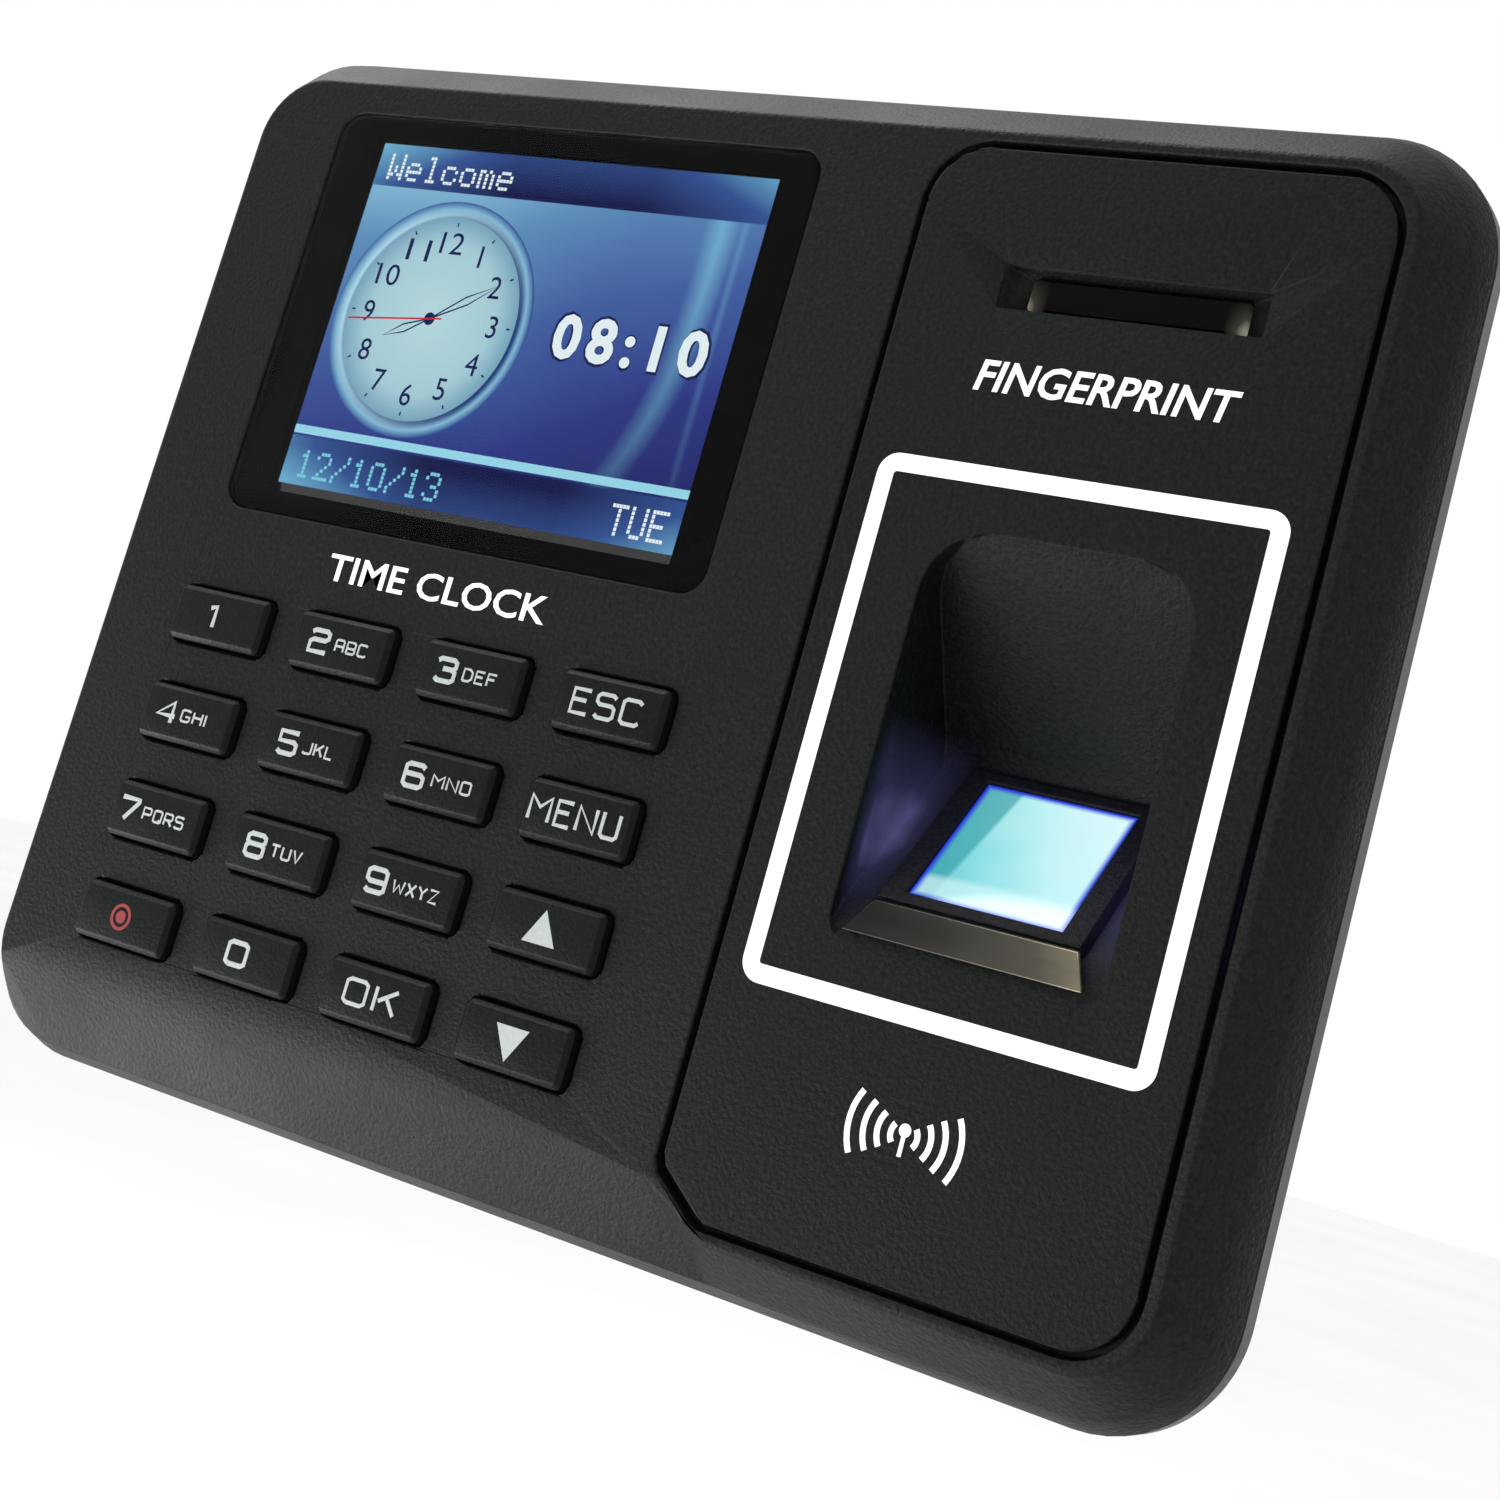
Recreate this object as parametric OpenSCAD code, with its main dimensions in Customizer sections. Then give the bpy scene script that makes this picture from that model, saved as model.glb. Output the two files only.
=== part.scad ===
// Wall-mounted fingerprint time terminal.
// +X is to the right of a person facing it, +Z is up, and the wall is the plane Y = 0.
// The front face looks along -Y. Depths are counted inwards from the front face.

/* [Housing] */
// Width over both covers
body_w = 161.4; // [155:0.2:170]
// Height over both covers
body_h = 128; // [126:0.5:136]
// Depth from the front face to the wall
body_d = 36; // [36:0.5:44]
// Corner radius of the housing's outline
corner_r = 13.5; // [12:0.5:16]
// Thickness of the front wall
front_wall = 2.2; // [2:0.1:2.4]
// Width of the bevel round the front face
bevel_w = 4.1; // [3.5:0.1:4.5]
// Depth of that bevel
bevel_d = 4.6; // [4:0.1:5]
// Depth of the joint between the two covers
parting_d = 7.5; // [7.2:0.1:8]
// Lean of the front cover's side, outwards from the bevel to the joint
side_lean = 1.3; // [0.8:0.1:1.6]
// Height of the flat strip that the longer bevel takes from the lower left edge
chin_h = 4.5; // [3:0.1:5]
// How much the back of the rear cover is narrower on each side
back_inset = 8.2; // [7:0.1:9]

/* [Screen] */
// Screen centre, to the right of the middle
screen_x = -27.5; // [-28:0.1:-26.5]
// Screen centre, above the middle
screen_z = 29.3; // [28.5:0.1:29.6]
// Width of the glossy window
window_w = 69.5; // [68:0.1:70]
// Height of the glossy window
window_h = 50.5; // [50:0.1:51]
// Thickness of the glossy window
window_t = 1; // [0.8:0.1:1.2]

/* [Keys] */
// Keypad centre, to the right of the middle
keypad_x = -27.7; // [-29:0.1:-27]
// Keypad centre, above the middle
keypad_z = -27.8; // [-28:0.1:-27]
// Distance between key columns
key_pitch_x = 19.1; // [18:0.1:19.5]
// Distance between key rows
key_pitch_z = 12; // [11.5:0.1:12]
// Width of a key at the front face
key_w = 14.3; // [13.5:0.1:14.5]
// Height of a key at the front face
key_h = 6.5; // [6:0.1:6.8]
// How far a key stands out of the face
key_rise = 1.3; // [1:0.1:1.6]
// Gap between a key and its opening
key_gap = 0.3; // [0.25:0.05:0.4]
// Travel of a key
key_travel = 1; // [0.8:0.1:1.1]

/* [Sensor panel] */
// Panel centre, to the right of the middle
panel_x = 47.3; // [46.5:0.1:47.5]
// Width of the panel
panel_w = 51.6; // [50:0.1:52]
// Height of the panel
panel_h = 113.5; // [112:0.1:113.5]
// Width of the groove round the panel
groove_w = 0.75; // [0.5:0.05:0.9]
// Thickness of the panel
panel_t = 2; // [1.8:0.1:2]
// Height of the slot's centre above the middle
slot_z = 41.85; // [40:0.1:43]
// Width of the slot for the status lens
slot_w = 29.5; // [28:0.1:31]
// Height of the slot for the status lens
slot_h = 4.9; // [4.5:0.1:5.5]

/* [Finger recess] */
// Recess centre, to the right of the middle
recess_x = 47.7; // [47:0.1:48]
// Top edge of the recess
recess_top = 15.9; // [14:0.1:17]
// Bottom edge of the recess
recess_bottom = -26.6; // [-27:0.1:-26]
// Width of the recess
recess_w = 30; // [29:0.1:31]
// Depth of the recess above the glass
recess_d = 14.2; // [13.5:0.1:14.5]
// Tilt of the glass from the front face, in degrees
glass_tilt = 40; // [38:0.5:42]
// Height of the glass's centre above the middle
glass_z = -14.05; // [-14.5:0.05:-13.5]
// Depth of the glass's centre
glass_d = 8.15; // [8:0.05:8.4]
// Width of the glass
glass_w = 17; // [16:0.1:18]
// Length of the glass up the slope
glass_l = 17.3; // [16.5:0.1:17.5]

/* [Wall plate] */
// Width of the wall plate
plate_w = 104; // [102:1:106]
// Height of the wall plate
plate_h = 68; // [66:1:70]
// Thickness of the wall plate
plate_t = 1.5; // [1.2:0.1:1.6]
// Distance between the slotted holes across
wall_hole_x = 84; // [80:1:86]
// Distance between the slotted holes up and down
wall_hole_z = 50; // [48:1:54]
// Width of a slotted hole
wall_slot_w = 4.5; // [4:0.1:5]
// Length of a slotted hole
wall_slot_l = 9; // [8:0.1:10]

/* [Hidden] */
$fn = 48;
skin = 0.01;
flat_inset = bevel_w + side_lean;
chin_slant = 26.6;
joint_gap = 0.3;
rear_wall = 2.3;
rear_straight = 10.6;
rear_back = 35.5;
rear_inner = 32.6;
plate_d = 34.5;
taper = back_inset / (rear_back - rear_straight);

board_d = 16;
board_t = 1.6;
board_back = board_d + board_t;
board_x = -21;
board_z = 1.4;
board_w = 82;
board_h = 98;
board_hole = [37, 43.6];

cover_screw = [67.8, 50];
cover_boss_r = 2.8;
cover_boss_end = 12;
corner_block = [62.5, 44.5];
tongue_end = 9.5;

mat_d = 6.4;
mat_t = 0.8;
keypad_board_t = 1.4;
key_flange_d = front_wall + 0.1;
key_flange_t = 0.8;
key_stem_r = 2;
key_stem_gap = 0.3;
key_stem_end = mat_d + mat_t - key_travel - key_stem_gap;
dome_r = 3.3;
dome_hole_r = 2.4;
dome_d = 5;

small_hole_r = 0.95;
display_screw_x = 38.5;
antenna_screw_x = 15;
antenna_z = -42;
panel_screw_x = 14;
panel_screw_z = [50.5, -53.6];

bay_x = [-40, 18];
bay_z = [-26, 15];
cable_hole = [44, 24];
cable_hole_x = -12;
cable_hole_z = -8;
plug_z = 5;

hook_x = 20;
hook_z = 26.1;
hook_w = 12;
lock_screw_d = 30.5;
lock_tab_z = -51.6;
lock_seat_z = -54.2;

tamper_x = -46.5;
tamper_z = 12;
tamper_r = 1.5;
tamper_hole_r = 1.58;
tamper_travel = 1.2;
switch_h = 5;

speaker_x = 52;
speaker_z = 42;
speaker_r = 11;

COLUMNS = [0, 1, 2, 3];
KEY_NAMES = [
    "key_1", "key_2", "key_3", "key_esc",
    "key_4", "key_5", "key_6", "key_menu",
    "key_7", "key_8", "key_9", "key_up",
    "key_bell", "key_0", "key_ok", "key_down"
];

// Helpers -----------------------------------------------------------------

// A flat outline, given as X and Z, made into a sheet that starts at a depth
module sheet(d, t) {
    translate([0, d + t - body_d, 0]) rotate([90, 0, 0]) linear_extrude(t) children();
}

// A round pin or hole across the depth
module rod(x, z, r, d0, d1) {
    translate([x, d1 - body_d, z]) rotate([90, 0, 0]) cylinder(r = r, h = d1 - d0);
}

// A block given by its lowest X, Z and depth and its sizes
module block(x, z, d, w, h, t) {
    translate([x, d - body_d, z]) cube([w, t, h]);
}

// Rounded rectangle about its centre
module rounded(w, h, r) {
    square([w - 2 * r, h], center = true);
    square([w, h - 2 * r], center = true);
    for (sx = [-1, 1], sz = [-1, 1])
        translate([sx * (w / 2 - r), sz * (h / 2 - r)]) circle(r);
}

// Housing outline, smaller on each side by an inset, and raised at the bottom by a lift
module outline(inset, lift = 0) {
    translate([0, lift / 2])
        rounded(body_w - 2 * inset, body_h - 2 * inset - lift, max(corner_r - inset, 2));
}

// A side view, given as depth and Z, drawn out across X from x0 to x1
module side_view(x0, x1) {
    translate([x0, -body_d, 0]) rotate([90, 0, 90]) linear_extrude(x1 - x0) children();
}

function key_x(i) = keypad_x + (i % 4 - 1.5) * key_pitch_x;
function key_z(i) = keypad_z - (floor(i / 4) - 1.5) * key_pitch_z;

// The glass's own frame: X across, Y up the slope, Z out of the glass
module on_glass() {
    translate([recess_x, glass_d - body_d, glass_z]) rotate([90 - glass_tilt, 0, 0]) children();
}

// Panel outline with its cut lower left corner, grown by an offset
module panel_outline(grow) {
    w = panel_w + 2 * grow;
    h = panel_h + 2 * grow;
    r = 6.5 + grow;
    cut = 5.5;
    translate([panel_x, 0]) difference() {
        rounded(w, h, r);
        translate([-w / 2 - 1, -h / 2 - 1]) square([r + 1, r + 1]);
    }
    translate([panel_x - w / 2, -h / 2])
        polygon([[0, r + 0.1], [0, cut], [0.6, cut - 1.4], [cut, 0.5], [cut + 1.1, 0],
                 [r + 0.1, 0], [r + 0.1, r + 0.1]]);
}

// Front housing -------------------------------------------------------------

module front_skin() {
    hull() {
        sheet(0, skin) outline(flat_inset);
        sheet(bevel_d, skin) outline(side_lean);
        sheet(parting_d - skin, skin) outline(0);
    }
}

module front_cavity() {
    hull() {
        sheet(front_wall, skin) outline(flat_inset + 1.6, chin_h + 0.4);
        sheet(bevel_d + 0.8, skin) outline(side_lean + 2.6, 1);
        sheet(parting_d, skin) outline(2.4);
    }
}

// Everything below a plane that leaves the face at Z = 0 and drops by a slope per depth
module below_plane(slope) {
    reach = 60;
    side_view(-2 * reach, 2 * reach)
        polygon([[-1, slope], [-1, -reach], [reach / 3, -reach], [reach / 3, -slope * reach / 3]]);
}

// Longer bevel below the keys, which ends in a slanted bevel beside the sensor panel
module chin_cut() {
    chin_z = -body_h / 2 + flat_inset + chin_h;
    intersection() {
        translate([0, 0, chin_z]) below_plane((bevel_w + chin_h) / bevel_d);
        translate([panel_x - panel_w / 2 - 1.8, 0, chin_z]) rotate([0, chin_slant, 0])
            below_plane(bevel_w / bevel_d);
    }
}

module key_opening(i) {
    sheet(-1, front_wall + 2) translate([key_x(i), key_z(i)])
        rounded(key_w + 2 * key_gap, key_h + 2 * key_gap, 0.9);
}

// A pin or hole at each place where a screw holds a part to the front cover's inside
module display_rods(r, d0, d1) {
    for (s = [-1, 1]) rod(screen_x + s * display_screw_x, screen_z, r, d0, d1);
}

module keypad_rods(r, d0, d1) {
    for (s = [-1, 1], t = [-1, 1])
        rod(keypad_x + s * 2 * key_pitch_x, keypad_z + t * key_pitch_z, r, d0, d1);
}

module antenna_rods(r, d0, d1) {
    for (s = [-1, 1]) rod(panel_x + s * antenna_screw_x, antenna_z, r, d0, d1);
}

module panel_rods(r, d0, d1) {
    for (s = [-1, 1], z = panel_screw_z) rod(panel_x + s * panel_screw_x, z, r, d0, d1);
}

module cover_rods(r, d0, d1) {
    for (sx = [-1, 1], sz = [-1, 1]) rod(sx * cover_screw[0], sz * cover_screw[1], r, d0, d1);
}

module board_rods(r, d0, d1) {
    for (sx = [-1, 1], sz = [-1, 1])
        rod(board_x + sx * board_hole[0], board_z + sz * board_hole[1], r, d0, d1);
}

module front_cover() {
    ledge_t = 2.2;
    color([0.07, 0.075, 0.075]) difference() {
        union() {
            difference() {
                front_skin();
                front_cavity();
            }
            intersection() {
                sheet(front_wall - 0.2, ledge_t) translate([panel_x, 0])
                    rounded(panel_w + 6, panel_h + 6, 7);
                front_skin();
            }
            difference() {
                sheet(parting_d - 0.5, tongue_end - parting_d + 0.5) outline(2.4);
                sheet(parting_d - 1, 4) outline(3.6);
            }
            cover_rods(cover_boss_r, front_wall - 0.2, cover_boss_end);
            display_rods(2.2, front_wall - 0.2, 4.9);
            keypad_rods(1.9, front_wall - 0.2, mat_d + mat_t);
        }
        chin_cut();
        sheet(-1, window_t + 1.15) translate([screen_x, screen_z])
            rounded(window_w + 0.3, window_h + 0.3, 3.1);
        sheet(-1, 6) translate([screen_x, screen_z]) rounded(63, 46.5, 1);
        for (i = [0:15]) key_opening(i);
        sheet(-1, panel_t + 1) panel_outline(groove_w);
        sheet(-1, 8) translate([recess_x, (recess_top + recess_bottom) / 2])
            rounded(recess_w + 5, recess_top - recess_bottom + 7, 5);
        sheet(-1, 8) translate([recess_x - 0.25, slot_z]) rounded(slot_w + 3, slot_h + 4, 1);
        cover_rods(1.25, 5, 13);
        display_rods(small_hole_r, 2.2, 6);
        keypad_rods(small_hole_r, 3.5, 8);
        antenna_rods(small_hole_r, 2.5, 5);
        panel_rods(2.5, 1, 3.2);
        panel_rods(1.1, 1, 5);
    }
}

// Tapered box that follows the inside of the rear cover, with the given half sizes at its front
module rear_room(half_x, half_z, d0, narrow_x, narrow_z) {
    d1 = rear_inner;
    dx = narrow_x * taper * (d1 - d0);
    dz = narrow_z * taper * (d1 - d0);
    intersection() {
        side_view(-body_w, body_w)
            polygon([[d0, -half_z], [d0, half_z], [d1, half_z - dz], [d1, dz - half_z]]);
        translate([0, -body_d, -body_h]) linear_extrude(2 * body_h)
            polygon([[-half_x, d0], [half_x, d0], [half_x - dx, d1], [dx - half_x, d1]]);
    }
}

module rear_cover() {
    front_edge = parting_d + joint_gap;
    room_d = tongue_end + 0.5;
    in_x = body_w / 2 - rear_wall;
    in_z = body_h / 2 - rear_wall;
    color([0.09, 0.095, 0.095]) difference() {
        union() {
            difference() {
                union() {
                    sheet(front_edge, rear_straight - front_edge) outline(0);
                    hull() {
                        sheet(rear_straight - skin, skin) outline(0);
                        sheet(rear_back - skin, skin) outline(back_inset);
                    }
                }
                sheet(front_edge - 1, room_d - front_edge + 1) outline(rear_wall);
                rear_room(in_x, corner_block[1], room_d - skin, 1, 0);
                rear_room(corner_block[0], in_z, room_d - skin, 0, 1);
            }
            board_rods(3.5, board_back, rear_inner + 0.2);
            rod(speaker_x, speaker_z, speaker_r + 1.5, rear_inner - 2.6, rear_inner + 0.2);
            block(-7, lock_seat_z - 1.3, lock_screw_d - 4.5, 14, 3.3, 7);
        }
        sheet(plate_d - 0.1, 3) rounded(plate_w + 0.6, plate_h + 0.6, 3);
        sheet(rear_inner - 2, 8) translate([(bay_x[0] + bay_x[1]) / 2, (bay_z[0] + bay_z[1]) / 2])
            rounded(bay_x[1] - bay_x[0], bay_z[1] - bay_z[0], 2);
        cover_rods(cover_boss_r + 0.3, room_d - 1, cover_boss_end + 0.1);
        cover_rods(1.7, room_d, 30);
        cover_rods(3.2, 16, 40);
        board_rods(1.25, 10, 30);
        rod(speaker_x, speaker_z, speaker_r + 0.2, 26, rear_inner);
        for (a = [0:60:300])
            rod(speaker_x + 5 * cos(a), speaker_z + 5 * sin(a), 1.2, 30, 40);
        rod(speaker_x, speaker_z, 1.2, 30, 40);
        rod(tamper_x, tamper_z, tamper_hole_r, 30, 40);
        for (sx = [-1, 1]) {
            block(sx * hook_x - hook_w / 2 - 0.5, hook_z - 2.5, 31, hook_w + 1, 4.2, 5);
            for (sz = [-1, 1])
                block(sx * wall_hole_x / 2 - 6.5, sz * wall_hole_z / 2 - 4.5, 31, 13, 9, 5);
        }
        block(-8.3, lock_tab_z - 0.6, plate_d - 0.1, 16.6, 25, 5);
        block(-8.3, lock_tab_z - 0.6, 27, 16.6, 2.6, 10);
        translate([0, lock_screw_d - body_d, -70]) cylinder(r = 1.7, h = 20);
        translate([0, lock_screw_d - body_d, lock_seat_z - 10]) cylinder(r = 3.1, h = 10);
    }
}

// Screen --------------------------------------------------------------------

module screen_window() {
    color([0.01, 0.01, 0.012]) sheet(0.05, window_t)
        translate([screen_x, screen_z]) rounded(window_w, window_h, 2.95);
}

module display_gasket() {
    color([0.05, 0.05, 0.05]) sheet(front_wall, 0.5) translate([screen_x, screen_z]) difference() {
        square([68.4, 49.6], center = true);
        square([64, 47.2], center = true);
    }
}

module lcd_panel() {
    color([0.35, 0.5, 0.8]) {
        sheet(2.7, 2.2) translate([screen_x, screen_z]) square([69.2, 50], center = true);
        sheet(2.1, 0.7) translate([screen_x, screen_z]) square([61.5, 45.4], center = true);
    }
}

module lcd_frame() {
    color([0.75, 0.76, 0.78]) difference() {
        union() {
            sheet(2.9, 2.5) translate([screen_x, screen_z]) square([70.4, 51.2], center = true);
            sheet(4.9, 0.5) translate([screen_x, screen_z]) rounded(82, 7, 2);
        }
        sheet(2, 2.95) translate([screen_x, screen_z]) square([69.4, 50.2], center = true);
        display_rods(1.1, 4, 6);
        sheet(4, 3) translate([screen_x, screen_z - 22]) square([24, 3], center = true);
    }
}

// Keys ------------------------------------------------------------------------

module key(i) {
    side = 0.55;
    foot = key_flange_d + 0.1;
    color([0.06, 0.065, 0.065]) translate([key_x(i), 0, key_z(i)]) {
        intersection() {
            sheet(-key_rise, foot + key_rise) rounded(key_w, key_h, 0.8);
            side_view(-key_w, key_w)
                polygon([[-key_rise, side - key_h / 2], [-key_rise, key_h / 2 - side],
                         [side - key_rise, key_h / 2], [foot, key_h / 2],
                         [foot, -key_h / 2], [side - key_rise, -key_h / 2]]);
            translate([0, -body_d, -key_h]) linear_extrude(2 * key_h)
                polygon([[side - key_w / 2, -key_rise], [key_w / 2 - side, -key_rise],
                         [key_w / 2, side - key_rise], [key_w / 2, foot],
                         [-key_w / 2, foot], [-key_w / 2, side - key_rise]]);
        }
        sheet(key_flange_d, key_flange_t) rounded(key_w + 1.6, key_h + 1.6, 1);
        rod(0, 0, key_stem_r, key_flange_d + key_flange_t - 0.1, key_stem_end);
    }
}

module keypad_mat() {
    color([0.55, 0.56, 0.56]) difference() {
        union() {
            sheet(mat_d, mat_t) translate([keypad_x, keypad_z]) rounded(74, 45.5, 2);
            for (i = [0:15]) rod(key_x(i), key_z(i), dome_r, dome_d, mat_d + 0.1);
        }
        for (i = [0:15]) rod(key_x(i), key_z(i), dome_hole_r, dome_d - 1, mat_d + mat_t + 1);
        keypad_rods(2.2, 4, 10);
    }
}

module keypad_board() {
    color([0.05, 0.3, 0.16]) difference() {
        sheet(mat_d + mat_t, keypad_board_t) translate([keypad_x, keypad_z]) {
            rounded(73.5, 46, 2);
            rounded(82, 30, 2);
        }
        keypad_rods(1.1, 4, 10);
    }
}

// Sensor panel ---------------------------------------------------------------

// Room of the finger recess: its front outline and its side view, grown by an offset
module recess_space(grow) {
    top = recess_top + grow;
    bottom = recess_bottom - grow;
    plan_h = top - bottom;
    c = cos(glass_tilt);
    s = sin(glass_tilt);
    half = glass_l / 2 + 1.6;
    sink = grow + 0.6;
    deep = [glass_z + half * c - sink * s, glass_d + half * s + sink * c];
    near = [glass_z - half * c - sink * s, glass_d - half * s + sink * c];
    intersection() {
        sheet(-1, 22) translate([recess_x, (top + bottom) / 2]) {
            rounded(recess_w + 2 * grow, plan_h, 7 + grow);
            translate([0, -plan_h / 4]) rounded(recess_w + 2 * grow, plan_h / 2, 2 + grow);
        }
        side_view(-body_w, body_w)
            polygon([[-1, top], [0, top], [1 + grow, top - 1], [recess_d + grow, deep[0] + 3],
                     [deep[1], deep[0]], [near[1], near[0]], [0, bottom], [-1, bottom]]);
    }
}

module sensor_panel() {
    color([0.07, 0.075, 0.075]) difference() {
        union() {
            sheet(0, panel_t) panel_outline(0);
            intersection() {
                recess_space(1.5);
                sheet(0, 30) panel_outline(0);
            }
            sheet(panel_t - 0.1, 3.1) translate([recess_x - 0.25, slot_z])
                rounded(slot_w + 2.4, slot_h + 2.4, 1);
            panel_rods(2.2, panel_t - 0.1, 3.1);
        }
        panel_rods(small_hole_r, 0.9, 4);
        recess_space(0);
        on_glass() translate([0, 0, -5]) linear_extrude(20) square([23, 20.6], center = true);
        sheet(-1, 2.5) translate([recess_x - 0.25, slot_z]) rounded(slot_w, slot_h, 0.4);
        sheet(-1, 8) translate([recess_x + 0.1, slot_z - 0.35]) rounded(24.3, 3.7, 0.4);
    }
}

module status_lens() {
    color([0.2, 0.18, 0.16, 0.8]) sheet(0.9, 3.6) translate([recess_x + 0.1, slot_z - 0.35])
        rounded(24, 3.4, 0.3);
}

module status_light_board() {
    color([0.05, 0.3, 0.16]) sheet(5.8, 1) translate([recess_x - 0.25, slot_z])
        rounded(slot_w + 4, slot_h + 5, 1);
}

module status_leds() {
    color([0.9, 0.9, 0.85]) for (s = [-1, 0, 1])
        block(recess_x + s * 8 - 1.75, slot_z - 1.6, 4.8, 3.5, 2.8, 1);
}

// Fingerprint module ----------------------------------------------------------

module sensor_prism() {
    color([0.55, 0.9, 0.95, 0.6]) on_glass() translate([-glass_w / 2, 0, 0]) rotate([90, 0, 90])
        linear_extrude(glass_w)
        polygon([[-glass_l / 2, 0], [glass_l / 2, 0], [glass_l / 2 - 1, -9], [-2, -9]]);
}

module sensor_bezel() {
    color([0.03, 0.03, 0.03]) on_glass() difference() {
        union() {
            translate([0, 0, -2.3]) linear_extrude(2.7) square([22.4, 20.2], center = true);
            translate([0, 0, -3.1]) linear_extrude(0.9) square([26, 22], center = true);
        }
        translate([0, 0, -4]) linear_extrude(6) square([glass_w + 0.2, glass_l + 0.2], center = true);
    }
}

module sensor_lip() {
    c = cos(glass_tilt);
    s = sin(glass_tilt);
    in_z = glass_z - 10.2 * c;
    in_d = glass_d - 10.2 * s;
    color([0.35, 0.3, 0.25]) side_view(recess_x - 13.2, recess_x + 13.2)
        polygon([[-0.55, recess_bottom + 0.9], [in_d - 0.5, in_z - 0.1], [in_d, in_z],
                 [0, recess_bottom + 0.9]]);
}

module sensor_housing() {
    wall = 1.2;
    color([0.08, 0.08, 0.085]) on_glass() difference() {
        translate([0, 0, -15]) linear_extrude(11.8) square([24, 21], center = true);
        translate([0, 0, -14]) linear_extrude(14) square([24 - 2 * wall, 21 - 2 * wall], center = true);
    }
}

module sensor_camera_lens() {
    color([0.1, 0.1, 0.12]) on_glass() translate([0, -4, -14]) union() {
        cylinder(r = 3, h = 1.5);
        cylinder(r = 2.2, h = 3.4);
    }
}

module sensor_board() {
    color([0.05, 0.3, 0.16]) on_glass() translate([0, 0, -16.2]) linear_extrude(1.2)
        square([25, 22], center = true);
}

module sensor_leds() {
    color([0.5, 0.6, 1]) on_glass() for (s = [-1, 1], t = [-1, 1])
        translate([s * 9 - 0.9, t * 7 - 0.6, -14]) cube([1.8, 1.2, 0.8]);
}

// Electronics -----------------------------------------------------------------

module main_board() {
    color([0.05, 0.32, 0.17]) difference() {
        sheet(board_d, board_t) translate([board_x, board_z]) rounded(board_w, board_h, 2);
        board_rods(1.6, 10, 20);
    }
}

module processor_chips() {
    color([0.04, 0.04, 0.045]) {
        block(board_x - 10, board_z + 9, board_d - 1.4, 14, 14, 1.4);
        block(board_x + 12, board_z + 4, board_d - 1.1, 12, 8, 1.1);
        block(board_x + 12, board_z - 9, board_d - 1.1, 12, 8, 1.1);
        block(board_x - 34, board_z + 28, board_back, 10, 10, 1.2);
    }
}

module cable_headers() {
    color([0.85, 0.83, 0.75]) {
        block(screen_x - 11, 0.5, board_d - 2.2, 22, 4, 2.2);
        block(keypad_x - 7, -43, board_d - 2.2, 14, 4, 2.2);
        block(13, -21, board_d - 2.2, 4, 12, 2.2);
    }
}

module clock_battery_holder() {
    color([0.06, 0.06, 0.06]) difference() {
        rod(board_x - 26, board_z - 24, 11.2, board_back, board_back + 4.4);
        rod(board_x - 26, board_z - 24, 10.1, board_back + 1, board_back + 6);
        block(board_x - 29, board_z - 37, board_back + 2.6, 6, 6, 3);
    }
}

module clock_battery() {
    color([0.8, 0.8, 0.82]) rod(board_x - 26, board_z - 24, 10, board_back + 1, board_back + 4.2);
}

module speaker() {
    color([0.12, 0.12, 0.12]) difference() {
        union() {
            rod(speaker_x, speaker_z, speaker_r, rear_inner - 2.6, rear_inner);
            rod(speaker_x, speaker_z, 6.5, rear_inner - 5, rear_inner - 2.5);
        }
        rod(speaker_x, speaker_z, speaker_r - 1.4, rear_inner - 1.4, rear_inner + 1);
    }
}

module reader_antenna_board() {
    color([0.05, 0.3, 0.16]) difference() {
        sheet(4.4, 1) translate([panel_x, antenna_z]) rounded(34, 18, 1.5);
        antenna_rods(1.1, 4, 7);
    }
}

module reader_antenna_coil() {
    color([0.8, 0.5, 0.25]) sheet(5.4, 0.1) translate([panel_x, antenna_z]) for (k = [0:3])
        difference() {
            rounded(25 - 2.4 * k, 16.4 - 2.4 * k, 1.5);
            rounded(24 - 2.4 * k, 15.4 - 2.4 * k, 1.2);
        }
}

module network_jack() {
    x0 = -36;
    color([0.72, 0.73, 0.75]) difference() {
        block(x0, plug_z, board_back, 16, 18, 13.4);
        block(x0 + 2, plug_z - 1, board_back + 4, 12, 15, 7);
        block(x0 + 5, plug_z - 1, board_back + 2, 6, 15, 3);
    }
}

module power_jack() {
    x = 11.5;
    color([0.05, 0.05, 0.05]) difference() {
        block(x - 4.5, plug_z, board_back, 9, 14, 11);
        translate([x, board_back + 6 - body_d, plug_z - 1]) cylinder(r = 3.1, h = 11);
    }
    color([0.8, 0.8, 0.8]) translate([x, board_back + 6 - body_d, plug_z + 0.5]) cylinder(r = 1, h = 10);
}

module terminal_block() {
    color([0.1, 0.45, 0.2]) difference() {
        block(-16, plug_z, board_back, 20, 10, 10);
        for (k = COLUMNS) {
            block(-15 + 5 * k, plug_z - 1, board_back + 2, 3, 6, 3.4);
            rod(-13.5 + 5 * k, plug_z + 6, 1.9, board_back + 6, board_back + 11);
        }
    }
}

module terminal_screws() {
    color([0.8, 0.8, 0.82]) for (k = COLUMNS) difference() {
        rod(-13.5 + 5 * k, plug_z + 6, 1.8, board_back + 6, board_back + 8.4);
        block(-15.5 + 5 * k, plug_z + 5.7, board_back + 7.8, 4, 0.6, 1);
    }
}

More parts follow.
